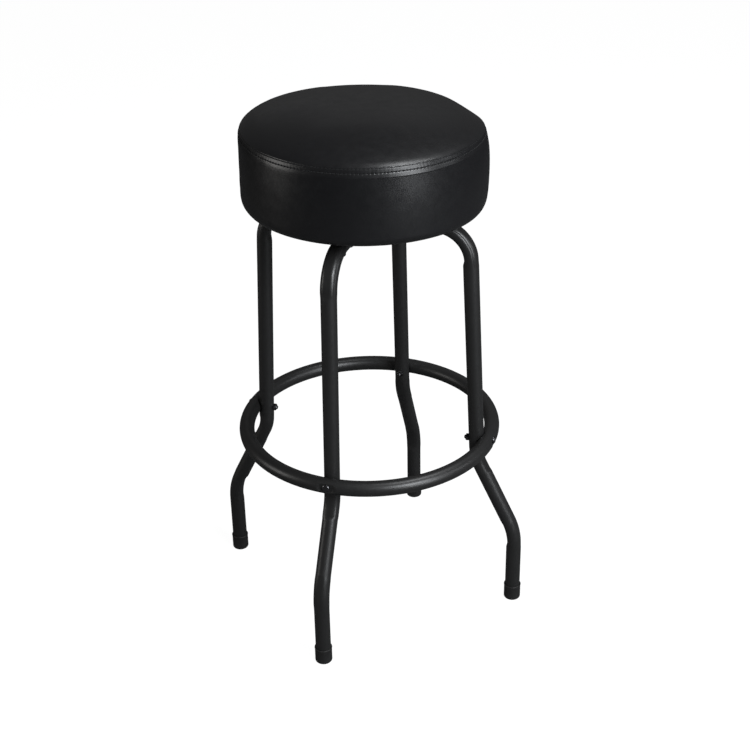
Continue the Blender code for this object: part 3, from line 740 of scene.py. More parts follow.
def outwards(reach, height):
    """Places local +Z on the station's radius, pointing away from the stool's axis"""
    return Matrix.Translation((reach, 0, height)) @ Matrix.Rotation(math.pi / 2, 4, "Y")


def square_to_leg(distance):
    """Places local +Z square to the leg at the ring's height, at a distance outwards from its middle"""
    reach, slope = leg_at(RING_HEIGHT)
    turn = Matrix.Rotation(math.pi / 2 - math.atan(slope), 4, "Y")
    return Matrix.Translation((reach, 0, RING_HEIGHT)) @ turn @ Matrix.Translation((0, 0, distance))


def cap_part():
    """A rubber cup with a rounded lower edge, a rib under it and a soft lip at its mouth"""
    profile = [
        (0, CAP_GROOVE_DEPTH),
        (CAP_RIB_INSIDE - CAP_GROOVE_SLOPE, CAP_GROOVE_DEPTH),
        (CAP_RIB_INSIDE, 0.0),
        (CAP_RIB_OUTSIDE, 0.0),
        (CAP_RIB_OUTSIDE + CAP_GROOVE_SLOPE, CAP_GROOVE_DEPTH),
        (CAP_TREAD_INSIDE - CAP_GROOVE_SLOPE, CAP_GROOVE_DEPTH),
        (CAP_TREAD_INSIDE, 0.0),
        (CAP_RADIUS - CAP_EDGE, 0.0),
    ]
    for angle in quarter_turn(CAP_EDGE_STEPS + 1):
        reach = CAP_RADIUS - CAP_EDGE + CAP_EDGE * math.sin(angle)
        profile.append((reach, CAP_EDGE * (1 - math.cos(angle))))
    lip_start = CAP_HEIGHT - CAP_LIP_HEIGHT
    for share in np.linspace(0, 1, CAP_LIP_STEPS + 1)[:-1]:
        reach = CAP_RADIUS + CAP_LIP * math.sin(math.pi * share)
        profile.append((reach, lip_start + CAP_LIP_HEIGHT * share))
    bore = TUBE_RADIUS + FIT_GAP
    profile += [(CAP_RADIUS - CAP_MOUTH_EASE, CAP_HEIGHT), (bore, CAP_HEIGHT - CAP_MOUTH_DROP)]
    profile += [(bore, CAP_FLOOR), (0, CAP_FLOOR)]
    return turned(profile, ROUND_SIDES)


def plug_part():
    """A plug along Z with a domed flange that lies against the tube's end"""
    angles = np.linspace(math.pi / 2, 0, PLUG_DOME_POINTS)[1:]
    dome = [(TUBE_RADIUS * math.cos(angle), -PLUG_FLANGE * math.sin(angle)) for angle in angles]
    stem = TUBE_RADIUS - TUBE_WALL - PLUG_PLAY
    profile = [(0, -PLUG_FLANGE), *dome, (stem, PLUG_SHOULDER), (stem, PLUG_DEPTH), (0, PLUG_DEPTH)]
    return turned(profile, TUBE_SIDES)


# Foot ring


def ring_middle():
    """Radius of the circle that the ring's tube is bent to"""
    reach, slope = leg_at(RING_HEIGHT)
    clear = (TUBE_RADIUS + RING_SEAT_GAP) * math.hypot(1, slope)
    return reach + clear + TUBE_RADIUS - RING_SADDLE_DEPTH


def ring_part():
    """The ring's tube, pressed round each leg on its inner side and dented under each bolt's head"""
    middle = ring_middle()
    quarter = math.tau / 4
    fine = np.arange(-RING_FINE_HALF_SPAN, RING_FINE_HALF_SPAN, RING_FINE_STEP) / middle
    coarse_count = round((quarter * middle - 2 * RING_FINE_HALF_SPAN) / RING_COARSE_STEP)
    fine_end = RING_FINE_HALF_SPAN / middle
    coarse = np.linspace(fine_end, quarter - fine_end, coarse_count)
    around = full_turn(RING_SIDES)
    heights = RING_HEIGHT + TUBE_RADIUS * np.sin(around)
    leg_reaches = np.array([leg_at(height)[0] for height in heights])
    leg_reach, slope = leg_at(RING_HEIGHT)
    dent_rise = slope * (middle + TUBE_RADIUS - leg_reach)
    dent_across = (heights - RING_HEIGHT - dent_rise) / RING_DENT_HALF_HEIGHT
    dent_floor = middle + TUBE_RADIUS - RING_DENT_DEPTH
    clear = (TUBE_RADIUS + RING_CLEARANCE) * math.hypot(1, slope)
    rings = []
    for azimuth in STATIONS.values():
        for offset in (*fine, *coarse[:-1]):
            nearest = (offset + quarter / 2) % quarter - quarter / 2
            reach = middle + TUBE_RADIUS * np.cos(around)
            sideways = reach * math.sin(nearest)
            leg_face = leg_reaches + clear * np.sqrt(np.clip(1 - (sideways / clear) ** 2, 0, None))
            leg_face -= RING_SADDLE_FLARE * np.clip(np.abs(sideways) - clear, 0, None)
            saddled = -softly_capped(-reach, -leg_face / math.cos(nearest), RING_SADDLE_SOFTNESS)
            reach = np.where(reach < middle + TUBE_RADIUS / 2, saddled, reach)
            oval = (sideways / RING_DENT_HALF_LENGTH) ** 2 + dent_across**2
            depth = RING_DENT_DEPTH * smooth_step((RING_DENT_END_SHARE - oval) / RING_DENT_FADE_SHARE)
            dented = np.maximum(reach - depth, np.minimum(reach, dent_floor))
            reach = np.where(reach > middle, dented, reach)
            turn = math.radians(azimuth) + offset
            rings.append(ring_at(reach, heights, np.full(RING_SIDES, turn)))
    return grid(rings, closed=True)


# Fasteners


def chamfered(cone):
    """A hexagon with its corners cut back to a cone's radius"""

    def outline(angles, half_width):
        sector = math.tau / 6
        return np.minimum(half_width / np.cos(angles % sector - sector / 2), cone)

    return outline


def hexagon_steps(height, is_nut):
    """Profile steps of a hexagon standing on Z = 0, with turned chamfers above and, on a nut, below"""
    half_width = HEXAGON_HALF_WIDTH
    corner = half_width * 2 / math.sqrt(3)
    cone = half_width * CHAMFER_START_SHARE
    drop = (corner - half_width) * CHAMFER_DROP_SHARE
    chamfer = [(drop * share, chamfered(cone + (corner - cone) * share)) for share in CHAMFER_STEP_SHARES]
    lowest = chamfer if is_nut else [(0, chamfered(corner))]
    steps = [(half_width, rise, outline) for rise, outline in lowest]
    return steps + [(half_width, height - rise, outline) for rise, outline in reversed(chamfer)]


def nut_part(height):
    """A hexagon nut standing on Z = 0 with a countersunk bore"""
    bore = BOLT_RADIUS + FIT_GAP
    sunk = bore + NUT_SINK
    profile = hexagon_steps(height, is_nut=True)
    profile += [(sunk, height), (bore, height - NUT_SINK), (bore, NUT_SINK), (sunk, 0)]
    return turned(profile, ROUND_SIDES, closed=True)


def threaded(bottom, top):
    """A threaded stud along Z with a chamfered upper end"""
    angles = full_turn(STUD_SIDES)
    steps = max(2, round((top - bottom) / THREAD_PITCH * THREAD_STEPS))
    rings = []
    for level in np.linspace(bottom, top, steps + 1):
        turn = (level / THREAD_PITCH - angles / math.tau) % 1
        reach = BOLT_RADIUS - THREAD_DEPTH * (1 - np.abs(turn * 2 - 1))
        rings.append(ring_at(np.minimum(reach, BOLT_RADIUS - STUD_CHAMFER + (top - level)), level, angles))
    return grid(rings)


def pan_head():
    """The ring bolt's domed head standing on Z = 0"""
    radius, height = RING_HEAD_RADIUS, RING_HEAD_HEIGHT
    profile = [(0, 0), (radius - HEAD_EASE, 0), (radius, HEAD_EASE), (radius, height * HEAD_RIM_SHARE)]
    for angle in quarter_turn(HEAD_DOME_POINTS):
        reach = radius * (HEAD_FLAT_SHARE + (1 - HEAD_FLAT_SHARE) * math.cos(angle))
        profile.append((reach, height * (HEAD_RIM_SHARE + HEAD_DOME_SHARE * math.sin(angle))))
    profile += [(radius * HEAD_CROWN_SHARES[0], height * HEAD_CROWN_SHARES[1]), (0, height)]
    return turned(profile, HEAD_SIDES)


def cross_recess():
    """Cutters for a cross recess that narrows downwards, with its second arm a trace wider"""
    levels = (
        (RING_HEAD_HEIGHT + RECESS_OVERRUN, RECESS_OVERRUN_SHARE),
        (RING_HEAD_HEIGHT, 1.0),
        (RING_HEAD_HEIGHT - RECESS_DEPTH, RECESS_FLOOR_SHARE),
    )
    parts = []
    for turn, arm_share in ((0, 1.0), (math.pi / 2, RECESS_SECOND_ARM_SHARE)):
        cosine, sine = math.cos(turn), math.sin(turn)
        rings = []
        for level, share in levels:
            length = RECESS_HALF_LENGTH * share
            width = RECESS_HALF_WIDTH * (1 - RECESS_TAPER_SHARE * (1 - share)) * arm_share
            corners = ((-length, -width), (length, -width), (length, width), (-length, width))
            rings.append([(x * cosine - y * sine, x * sine + y * cosine, level) for x, y in corners])
        parts.append(grid(rings))
    return parts


def ring_head_part():
    """The ring bolt's pan head with its cross recess"""
    head = make_object("pan_head", pan_head())
    for part in cross_recess():
        cut(head, part)
    part = mesh_part(head)
    bpy.data.objects.remove(head, do_unlink=True)
    return part


UPSIDE_DOWN = Matrix.Rotation(math.pi, 4, "X")


def ring_bolt_part(grip, length):
    """The ring bolt along -Z under its head: a plain shank through its grip, then a thread"""
    profile = [(0, HEAD_OVERLAP), (BOLT_RADIUS, HEAD_OVERLAP), (BOLT_RADIUS, -grip), (0, -grip)]
    stud = placed(threaded(grip - THREAD_OVERLAP, length), UPSIDE_DOWN)
    return joined([ring_head_part(), turned(profile, STUD_SIDES), stud])


def leg_bolt_part(length):
    """A hexagon bolt along -Z under its head"""
    profile = [(0, 0), *hexagon_steps(LEG_HEAD_HEIGHT, is_nut=False), (0, LEG_HEAD_HEIGHT)]
    stud = placed(threaded(-HEAD_OVERLAP, length), UPSIDE_DOWN)
    return joined([turned(profile, ROUND_SIDES), stud])


# Cushion


def crown_height(reach):
    """The crown of the top panel, which rolls over more steeply just before the seam"""
    rolled = EDGE_ROLL * (1 - math.exp(-(SEAM_RADIUS - reach) / EDGE_ROLL_LENGTH))
    return SEAM_HEIGHT + (CROWN_RISE - EDGE_ROLL) * (1 - (reach / SEAM_RADIUS) ** CROWN_POWER) + rolled


def strip_and_band(height):
    """Radii of the sloping seam strip and of the bulging band, both carried on to any height"""
    drop = SEAM_HEIGHT - height
    strip = SEAM_RADIUS + (STRIP_EDGE_RADIUS - SEAM_RADIUS) * drop / STRIP_LENGTH
    share = np.clip((drop - STRIP_LENGTH) / (SEAM_HEIGHT - FILLET_HEIGHT - STRIP_LENGTH), 0, 1)
    band = BAND_START_RADIUS + (BASE_EDGE_RADIUS - BAND_START_RADIUS) * share
    return strip, band + SIDE_BULGE * math.sin(math.pi * share)


def side_reach(height):
    """The folded seam strip slopes outwards, steps in at its edge, and the band bulges below it"""
    strip, band = strip_and_band(height)
    stepped = smooth_step((SEAM_HEIGHT - height - STRIP_LENGTH) / STRIP_STEP_LENGTH + 0.5)
    return strip + (band - strip) * stepped


def softened(height):
    """How far the strip's edge draws in where it rolls softly into the band instead of stepping"""
    if height < FILLET_HEIGHT:
        return 0.0
    strip, band = strip_and_band(height)
    return float(softly_capped(strip, band, STRIP_SOFTNESS) - side_reach(height))


def cushion_profile():
    """
    The cushion's outer profile from the crown's middle to the flange's inner edge: its points, their
    distances along the cover from the seam, negative above it, and the ways that face out of the cover
    """
    crown_reaches = [*np.linspace(CROWN_HOLE_RADIUS, SEAM_RADIUS - FINE_ABOVE, CROWN_ROWS)]
    fine_count = round(FINE_ABOVE / FINE_ROW_STEP)
    crown_reaches += [*np.linspace(SEAM_RADIUS - FINE_ABOVE, SEAM_RADIUS, fine_count + 1)[1:]]
    above = [(reach, crown_height(reach)) for reach in crown_reaches]
    fine_heights = SEAM_HEIGHT - np.arange(1, round(FINE_BELOW / FINE_ROW_STEP)) * FINE_ROW_STEP
    coarse_heights = np.linspace(fine_heights[-1], FILLET_HEIGHT, BAND_ROWS)[1:]
    below = [(side_reach(height), height) for height in (*fine_heights, *coarse_heights)]
    for angle in quarter_turn(ROUND_ROWS):
        reach = BASE_EDGE_RADIUS - LOWER_EDGE_ROUND * (1 - math.cos(angle))
        below.append((reach, FILLET_HEIGHT - LOWER_EDGE_ROUND * math.sin(angle)))
    for reach in np.linspace(below[-1][0], FLANGE_INNER_RADIUS, FLANGE_ROWS)[1:]:
        below.append((reach, SEAT_BOTTOM))
    points = np.array([*above, *below])
    lengths = np.concatenate([[0], np.cumsum(np.linalg.norm(np.diff(points, axis=0), axis=1))])
    ways = np.gradient(points, axis=0)
    ways /= np.linalg.norm(ways, axis=1, keepdims=True)
    normals = np.stack([-ways[:, 1], ways[:, 0]], 1)
    return points, lengths - lengths[len(above) - 1], normals


def profile_at(distance, profile):
    """Reach, height and outward way of the profile at a distance along the cover"""
    points, along, normals = profile
    reach, height = (float(np.interp(distance, along, points[:, side])) for side in (0, 1))
    return reach, height, unit(np.array([np.interp(distance, along, normals[:, side]) for side in (0, 1)]))


def settled(reach, height, along, angles):
    """Places round the cushion of one profile point, after the cushion has settled unevenly"""
    degrees = np.degrees(angles)
    lift = max(0, (height - SEAT_BOTTOM) / (SEAM_HEIGHT - SEAT_BOTTOM))
    flange = FLANGE_INNER_RADIUS + LOWER_EDGE_ROUND
    is_flange = height <= SEAT_BOTTOM + FLANGE_RISE
    loose = float(smooth_step((reach - flange) / LOWER_EDGE_ROUND)) if is_flange else 1.0
    inwards = reach / SEAM_RADIUS
    share = inwards**CROWN_FADE_POWER if along < 0 else math.exp(-((along / EDGE_FADE) ** 2))
    fullness = np.full(len(angles), CROWN_POWER)
    reaches = np.full(len(angles), float(reach))
    heights = np.full(len(angles), float(height))
    for azimuth, span, power, outwards_move, upwards_move in SETTLED_EDGES:
        near = near_azimuth(degrees, azimuth, span)
        fullness += power * near
        reaches += outwards_move * near * share
        heights += upwards_move * near * share
    if along > 0:
        reaches += softened(height) * (1 - near_azimuth(degrees, STRIP_SHARP_SIDE, STRIP_SHARP_SPAN))
    if along < 0:
        heights += CROWN_RISE * (inwards**CROWN_POWER - inwards**fullness)
    else:
        for azimuth, span, outwards_move, place, height_span, droop in SETTLED_ROLLS:
            near = near_azimuth(degrees, azimuth, span) * loose
            reaches += outwards_move * near * bump(height - SEAT_BOTTOM - place, height_span)
            heights -= droop * near * bump(height - SEAT_BOTTOM, DROOP_SPAN)
    heights -= CUSHION_TILT * lift * reaches * np.cos(angles - RIGHT_SIDE)
    shift = CUSHION_SHIFT * loose * np.array([math.cos(RIGHT_SIDE), math.sin(RIGHT_SIDE), 0])
    return ring_at(reaches, heights, angles) + shift


def foam_lumps(angles, row, rows):
    """Gentle unevenness of the foam, the same on every run"""
    chance = random.Random(SWELL_SEED)
    total = np.zeros(len(angles))
    for waves in FOAM_WAVES:
        phase = chance.uniform(0, math.tau)
        drift = chance.uniform(-FOAM_DRIFT, FOAM_DRIFT)
        total += np.cos(waves * angles + phase + drift * row / rows) / waves
    return total * math.sin(math.pi * (row / rows))


def pressed(rings, pinned_rows):
    """Where a cloth skin through rings ends up under the foam's pressure, with some of its rows held"""
    cover = make_object("swelling_cover", grid(rings))
    pinned = cover.vertex_groups.new(name="pinned")
    for row in pinned_rows:
        pinned.add(range(row * SWELL_COLUMNS, (row + 1) * SWELL_COLUMNS), 1.0, "REPLACE")
    modifier = cover.modifiers.new("cloth", "CLOTH")
    settings = modifier.settings
    settings.use_pressure = True
    settings.uniform_pressure_force = SWELL_PRESSURE
    settings.effector_weights.gravity = 0
    settings.vertex_group_mass = "pinned"
    settings.tension_stiffness = SWELL_STIFFNESS
    settings.compression_stiffness = SWELL_STIFFNESS
    settings.bending_stiffness = SWELL_BENDING
    modifier.point_cache.frame_start = 1
    modifier.point_cache.frame_end = SWELL_FRAMES
    scene = bpy.context.scene
    for frame_number in range(1, SWELL_FRAMES + 1):
        scene.frame_set(frame_number)
    swollen = cover.evaluated_get(bpy.context.evaluated_depsgraph_get())
    places = np.array([tuple(v.co) for v in swollen.to_mesh().vertices])
    swollen.to_mesh_clear()
    scene.frame_set(1)
    bpy.data.objects.remove(cover, do_unlink=True)
    return places.reshape(len(rings), SWELL_COLUMNS, 3)


def swelling(profile):
    """
    How far the foam's pressure moves the cover outwards: distances along the cover, and a table of moves
    with one row for each distance and one column for each angle, less the mean of each row
    """
    points, along, _ = profile
    stops = [*np.linspace(along[0], 0, SWELL_CROWN_ROWS)]
    stops += [*np.linspace(STRIP_LENGTH, along[-1], SWELL_BAND_ROWS)]
    angles = full_turn(SWELL_COLUMNS)
    plain = []
    lumpy = []
    ways = []
    pinned_rows = []
    for row, stop in enumerate(stops):
        reach, height, normal = profile_at(stop, profile)
        is_strip = 0 <= stop <= STRIP_LENGTH
        lumps = FOAM_LUMPS * foam_lumps(angles, row, len(stops)) * (0 if is_strip else 1)
        plain.append(settled(reach, height, stop, angles))
        ways.append(ring_at(*normal, angles))
        lumpy.append(plain[-1] + ways[-1] * lumps[:, None])
        if is_strip or row >= len(stops) - SWELL_PINNED_ROWS:
            pinned_rows.append(row)
    moves = np.sum((pressed(lumpy, pinned_rows) - np.array(plain)) * np.array(ways), axis=2)
    waves = np.fft.rfft(moves, axis=1)
    waves[:, 0] = 0
    waves[:, SWELL_WAVES:] = 0
    moves = np.fft.irfft(waves, SWELL_COLUMNS, axis=1)
    reaches = np.interp(stops, along, points[:, 0])
    moves *= smooth_step((reaches - SWELL_CALM_RADIUS) / SWELL_CALM_RADIUS)[:, None]
    for _ in range(SWELL_SMOOTHING):
        moves[1:-1] = (moves[:-2] + 2 * moves[1:-1] + moves[2:]) / 4
    return np.array(stops), SWELL_LIMIT * np.tanh(moves / SWELL_LIMIT)


def swell_at(table, distance, angles):
    """The swelling at a distance along the cover, for each angle"""
    stops, moves = table
    place = np.interp(distance, stops, np.arange(len(stops)))
    low = int(min(place, len(stops) - 2))
    row = moves[low] + (moves[low + 1] - moves[low]) * (place - low)
    around = np.arange(SWELL_COLUMNS + 1) * math.tau / SWELL_COLUMNS
    return np.interp(angles % math.tau, around, [*row, row[0]])


def seam_relief(along, phase):
    """How far the cover stands out at a distance from the seam and a phase between two holes"""
    hole = np.minimum(phase, 1 - phase) * math.tau * SEAM_RADIUS / STITCH_COUNT
    relief = -SEAM_CREASE * bump(along, SEAM_CREASE_WIDTH)
    for row, share in HOLE_SHARES.items():
        relief = relief - ROW_CHANNEL * bump(along - row, ROW_CHANNEL_WIDTH)
        relief = relief - share * HOLE_DEPTH * bump(along - row, HOLE_WIDTH) * bump(hole, HOLE_WIDTH)
    between = bump(along - (UPPER_ROW + LOWER_ROW) / 2, (LOWER_ROW - UPPER_ROW) * PUCKER_WIDTH_SHARE)
    return relief - PUCKER_DEPTH * between * np.cos(math.tau * phase)


def pleat_lift(reach, angles):
    """Gathers of the cover where it is drawn under the board"""
    share = float(smooth_step((FLANGE_INNER_RADIUS + PLEAT_LENGTH - reach) / PLEAT_FADE))
    return PLEAT_DEPTH * share * np.abs(np.sin(PLEAT_COUNT * angles / 2)) ** PLEAT_POWER


def cover_ring(point, distance, normal, table):
    """Places round the cushion of one row of its cover, with more of them near the seam"""
    is_fine = -FINE_ABOVE < distance < FINE_BELOW
    angles = full_turn(STITCH_COUNT * (STITCH_COLUMNS if is_fine else PLAIN_COLUMNS))
    out = swell_at(table, distance, angles)
    if is_fine:
        out = out + seam_relief(distance, (angles * STITCH_COUNT / math.tau) % 1)
    ring = settled(*point, distance, angles) + ring_at(*normal, angles) * out[:, None]
    if point[1] < SEAT_BOTTOM + FLANGE_RISE:
        ring[:, 2] += pleat_lift(point[0], angles)
    return ring


def cushion_part(profile, table):
    """The cushion as one closed body: the cover's outside, and the recess for the board underneath"""
    rings = [cover_ring(*row, table) for row in zip(*profile)]
    recess = (
        (FLANGE_INNER_RADIUS, SEAT_BOTTOM + COVER_THICKNESS),
        (BOARD_RADIUS, SEAT_BOTTOM + COVER_THICKNESS),
        (BOARD_RADIUS, BOARD_TOP),
        (CROWN_HOLE_RADIUS, BOARD_TOP),
    )
    rings += [ring_at(reach, height, full_turn(STITCH_COUNT * PLAIN_COLUMNS)) for reach, height in recess]
    starts = [0, *np.cumsum([len(ring) for ring in rings]).tolist()]
    faces = []
    for row, (ring, after) in enumerate(zip(rings, rings[1:])):
        faces += bridged(starts[row], len(ring), starts[row + 1], len(after))
    faces.append(tuple(range(starts[1])))
    faces.append(tuple(reversed(range(starts[-2], starts[-1]))))
    return np.concatenate(rings), faces


def bridged(start, count, after, after_count):
    """Faces between two rings, where one may have several times the other's points"""
    if count > after_count:
        return [tuple(reversed(face)) for face in bridged(after, after_count, start, count)]
    times = after_count // count
    half = times // 2
    faces = []
    for corner in range(count):
        here = start + corner
        following = start + (corner + 1) % count
        fan = [after + (corner * times + step) % after_count for step in range(times + 1)]
        if times == 1:
            faces.append((following, here, *fan))
            continue
        for step in range(times):
            faces.append((here if step < half else following, fan[step], fan[step + 1]))
        faces.append((following, here, fan[half]))
    return faces


def stitches_part(row, profile, table):
    """One row of stitches that lie in their channel and dive into a hole at each end"""
    reach, height, normal = profile_at(row, profile)
    around = full_turn(STITCH_SIDES)
    crease = SEAM_CREASE + THREAD_RADIUS if row < LOWER_ROW / 2 else 0
    parts = []
    for number in range(STITCH_COUNT):
        rings = []
        for share in np.linspace(STITCH_END_SHARE, 1 - STITCH_END_SHARE, STITCH_RINGS):
            angles = np.array([(number + share) * math.tau / STITCH_COUNT])
            ends = abs(share - 0.5) * 2
            level = float(swell_at(table, row, angles)[0]) - ROW_CHANNEL - crease
            level += THREAD_RADIUS * STITCH_LIFT_SHARE
            level -= ends**STITCH_DIVE_POWER * (HOLE_DEPTH + THREAD_RADIUS)
            radius = THREAD_RADIUS * (1 - STITCH_TAPER_SHARE * ends**STITCH_TAPER_POWER)
            out = np.outer(level + radius * np.cos(around), ring_at(*normal, angles))
            over_way = ring_at(-normal[1], normal[0], angles)
            over = np.outer(radius * STITCH_WIDTH_SHARE * np.sin(around), over_way)
            rings.append(settled(reach, height, max(row, 0), angles) + out + over)
        parts.append(grid(rings))
    return joined(parts)


def staple_part():
    """A staple's flat crown along X, with the start of its legs"""
    line = [(-x, rise) for x, rise in reversed(STAPLE_HALF_LINE)] + [*STAPLE_HALF_LINE]
    y, z = STAPLE_HALF_WIDTH, STAPLE_HALF_THICKNESS
    section = ((-y, -z), (y, -z), (y, z), (-y, z))
    return grid([[(x, side, rise + up) for side, up in section] for x, rise in line])


def staples_part():
    """The staples that hold the gathered cover to the board"""
    chance = random.Random(SWELL_SEED)
    parts = []
    for number in range(STAPLE_COUNT):
        turn = math.tau * (number + 0.5) / STAPLE_COUNT
        turn += chance.uniform(-STAPLE_TURN_PLAY, STAPLE_TURN_PLAY)
        reach = STAPLE_REACH + chance.uniform(-STAPLE_REACH_PLAY, STAPLE_REACH_PLAY)
        skew = Matrix.Rotation(turn + chance.uniform(-STAPLE_SKEW, STAPLE_SKEW), 4, "Z")
        place = Matrix.Translation((reach * math.cos(turn), reach * math.sin(turn), SEAT_BOTTOM - FIT_GAP))
        parts.append(placed(staple_part(), place @ skew))
    return joined(parts)


def dust_cloth_part(low, high, reach):
    """A thin cloth disc drawn over the board, with small puckers that run in from its stapled edge"""
    angles = full_turn(PLEAT_COUNT * CLOTH_PLEAT_COLUMNS)
    flat_reach = CLOTH_FLAT_SHARE * reach
    reaches = [*np.linspace(CLOTH_HOLE_RADIUS, flat_reach, CLOTH_FLAT_ROWS)]
    reaches += [*np.linspace(flat_reach, reach, CLOTH_EDGE_ROWS)[1:]]
    upper = []
    lower = []
    for size in reaches:
        edge = float(smooth_step((size / reach - CLOTH_FLAT_SHARE) / (1 - CLOTH_FLAT_SHARE)))
        middle = (low + high) / 2 - CLOTH_SAG * math.sin(math.pi * size / reach)
        heights = middle + CLOTH_PUCKER * edge * np.cos(PLEAT_COUNT * angles)
        upper.append(ring_at(size, heights + CLOTH_THICKNESS / 2, angles))
        lower.append(ring_at(size, heights - CLOTH_THICKNESS / 2, angles))
    return grid([*lower, *reversed(upper)])


# Pieces


def build(name, part, finish, body, *replaced, slot=None, smooth_angle=HARD_EDGE):
    """
    Makes a piece with its finish, on its body, in place of the frame's nodes that it stands for. The slot
    argument is not used.
    """
    piece = make_object(name, part, smooth_angle)
    piece.data.materials.append(MATERIALS[finish])
    bpy.context.view_layer.update()
    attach(piece, body)
    if replaced:
        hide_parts(*replaced)
    return piece


def build_leg(name, turn):
    """A leg with its foot cap and the plug in its inner end"""
    build("leg_tube_" + name, placed(leg_part(), turn), "powder_coat", "stand", "leg_" + name)
    cap = placed(cap_part(), turn @ Matrix.Translation((FOOT_REACH, 0, 0)))
    build("foot_cup_" + name, cap, "rubber", "stand", "foot_cap_" + name)
    plug = placed(plug_part(), turn @ outwards(INNER_END_REACH - FIT_GAP, TOP_RUN_HEIGHT))
    build("end_plug_" + name, plug, "rubber", "stand", "leg_plug_" + name, slot="plug_plastic")


def build_ring_fasteners(name, turn):
    """The bolt through the ring and the leg, and its nut on the leg's inner side"""
    head_seat = ring_middle() + TUBE_RADIUS - RING_DENT_DEPTH + SEAT_GAP - leg_at(RING_HEIGHT)[0]
    nut_seat = -TUBE_RADIUS - SEAT_GAP
    grip = head_seat - nut_seat
    bolt = ring_bolt_part(grip, grip + RING_NUT_HEIGHT + RING_BOLT_TIP)
    bolt = placed(bolt, turn @ square_to_leg(head_seat))
    build("ring_screw_" + name, bolt, "black_steel", "stand", "ring_bolt_" + name)
    nut = placed(nut_part(RING_NUT_HEIGHT), turn @ square_to_leg(nut_seat - RING_NUT_HEIGHT))
    build("hex_nut_" + name, nut, "black_steel", "stand", "ring_nut_" + name)


def build_plate_fasteners(name, turn):
    """The bolts from below through the leg's top run and the lower plate, and their nuts on the plate"""
    nut_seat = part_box("leg_nut_inner_front_right")[0][2]
    head_seat = TOP_RUN_HEIGHT - TUBE_RADIUS - SEAT_GAP
    length = nut_seat - SEAT_GAP + LEG_NUT_HEIGHT + LEG_BOLT_TIP - head_seat
    for where, reach in LEG_BOLT_REACHES.items():
        end = f"{where}_{name}"
        bolt_place = turn @ Matrix.Translation((reach, 0, head_seat)) @ UPSIDE_DOWN
        bolt = placed(leg_bolt_part(length), bolt_place)
        build("leg_screw_" + end, bolt, "black_steel", "stand", "leg_bolt_" + end)
        nut = placed(nut_part(LEG_NUT_HEIGHT), turn @ Matrix.Translation((reach, 0, nut_seat)))
        build("plate_nut_" + end, nut, "zinc_steel", "stand", "leg_nut_" + end)


def build_legs():
    """Four legs with all that is fixed to them, and the ring round them"""
    for name, azimuth in STATIONS.items():
        turn = Matrix.Rotation(math.radians(azimuth), 4, "Z")
        build_leg(name, turn)
        build_ring_fasteners(name, turn)
        build_plate_fasteners(name, turn)
    build("ring_tube", ring_part(), "powder_coat", "stand", "foot_ring")


def build_cushion():
    """The cushion with its stitches, and the staples under it"""
    profile = cushion_profile()
    table = swelling(profile)
    shape = cushion_part(profile, table)
    replaced = ("cover_top_panel", "cover_side_band", "seat_foam")
    cushion = build("seat_cushion", shape, "vinyl", "seat", *replaced, smooth_angle=SOFT_EDGE)
    for name, row in (("seam_stitches_upper", UPPER_ROW), ("seam_stitches_lower", LOWER_ROW)):
        build(name, stitches_part(row, profile, table), "thread", "seat", slot="vinyl")
    build("cover_staples", staples_part(), "zinc_steel", "seat")


def build_dust_cloth():
    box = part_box("dust_cover")
    reach = box[1][0]
    shape = dust_cloth_part(box[0][2], box[1][2], reach)
    cloth = build("dust_cloth", shape, "dust_cloth", "seat", "dust_cover", smooth_angle=SOFT_EDGE)


PLATE_SCREWS = ["plate_screw_" + name for name in STATIONS]

# The frame's own nodes that stay in view, for each finish
KEPT_NODES = {
    "plate_paint": ("swivel_lower_plate", "swivel_upper_plate"),
    "bearing_steel": ("ball_cage",),
    "nylon": ("pivot_bushing",),
    "plywood": ("seat_board",),
    "zinc_steel": ("pivot_bolt", "pivot_washer", "pivot_nut", *PLATE_SCREWS),
}


def paint_kept_nodes():
    for finish, names in KEPT_NODES.items():
        for name in names:
            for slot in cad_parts[name].material_slots:
                slot.material = MATERIALS[finish]


# Stage


def build_floor():
    """A floor that is white to the camera and a dim grey to the light"""
    size = FLOOR_HALF_SIZE
    corners = np.array([(-size, -size, 0), (size, -size, 0), (size, size, 0), (-size, size, 0)])
    piece = make_object("floor", (corners, [(0, 1, 2, 3)]))
    piece.location = (0, 0, -FLOOR_DROP)
    made = Shader("floor_pale", FLOOR_GREY, 0.9)
    made.surface.inputs["Specular IOR Level"].default_value = FLOOR_SHEEN
    made.surface.inputs["Emission Color"].default_value = (1, 1, 1, 1)
    rays = made.add("ShaderNodeLightPath")
    links = {0: rays.outputs["Is Camera Ray"]}
    seen = made.add("ShaderNodeMath", {1: FLOOR_GLOW}, links, operation="MULTIPLY")
    made.drive("Emission Strength", seen.outputs["Value"])
    piece.data.materials.append(made.material)


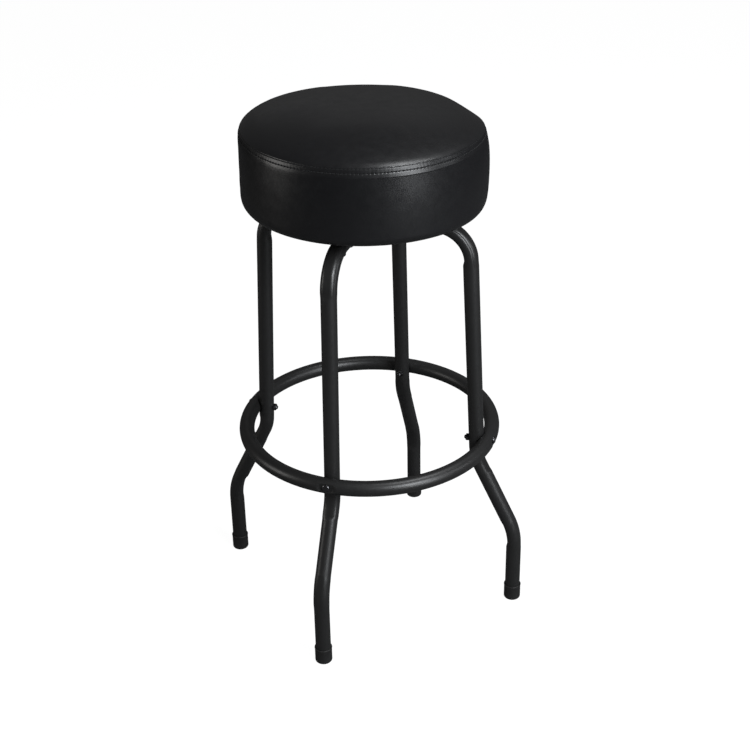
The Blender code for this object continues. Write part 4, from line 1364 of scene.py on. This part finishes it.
def build_world():
    """White to the camera, dimmer in reflections and faint as a light"""
    world = bpy.data.worlds.new("studio")
    bpy.context.scene.world = world
    world.use_nodes = True
    tree = world.node_tree
    background = tree.nodes["Background"]
    background.inputs["Color"].default_value = (1, 1, 1, 1)
    rays = add_node(tree, "ShaderNodeLightPath").outputs
    values = {1: GLOSSY_SHARE, 2: WORLD_LEVEL}
    level = add_node(tree, "ShaderNodeMath", values, {0: rays["Is Glossy Ray"]}, operation="MULTIPLY_ADD")
    for ray in ("Is Camera Ray", "Is Transmission Ray"):
        links = {0: level.outputs["Value"], 1: rays[ray]}
        level = add_node(tree, "ShaderNodeMath", links=links, operation="MAXIMUM")
    tree.links.new(level.outputs["Value"], background.inputs["Strength"])


def build_lamps():
    for name, azimuth, elevation, size, power, colour in LAMPS:
        lamp = bpy.data.lights.new(name, "AREA")
        lamp.shape = "RECTANGLE"
        lamp.size, lamp.size_y = size
        lamp.energy = power
        lamp.color = colour
        made = bpy.data.objects.new(name, lamp)
        angle = CAMERA_AZIMUTH + math.radians(azimuth)
        rise = math.radians(elevation)
        way = Vector((math.cos(rise) * math.cos(angle), math.cos(rise) * math.sin(angle), math.sin(rise)))
        made.location = LAMP_TARGET + way * LAMP_DISTANCE
        made.rotation_euler = way.to_track_quat("Z", "Y").to_euler()
        bpy.context.scene.collection.objects.link(made)


def build_camera():
    lens = bpy.data.cameras.new("camera")
    lens.lens = CAMERA_LENS_MM
    lens.sensor_width = CAMERA_SENSOR_MM
    camera = bpy.data.objects.new("camera", lens)
    turn = Matrix.Rotation(CAMERA_TURN, 4, "Z") @ Matrix.Rotation(math.pi / 2 - CAMERA_DOWN, 4, "X")
    camera.matrix_world = Matrix.Translation(CAMERA_PLACE) @ turn @ Matrix.Rotation(CAMERA_ROLL, 4, "Z")
    bpy.context.scene.collection.objects.link(camera)
    bpy.context.scene.camera = camera


bpy.context.scene.view_settings.view_transform = "Standard"
build_camera()
build_world()
build_lamps()
build_floor()
paint_kept_nodes()
build_legs()
build_cushion()
build_dust_cloth()
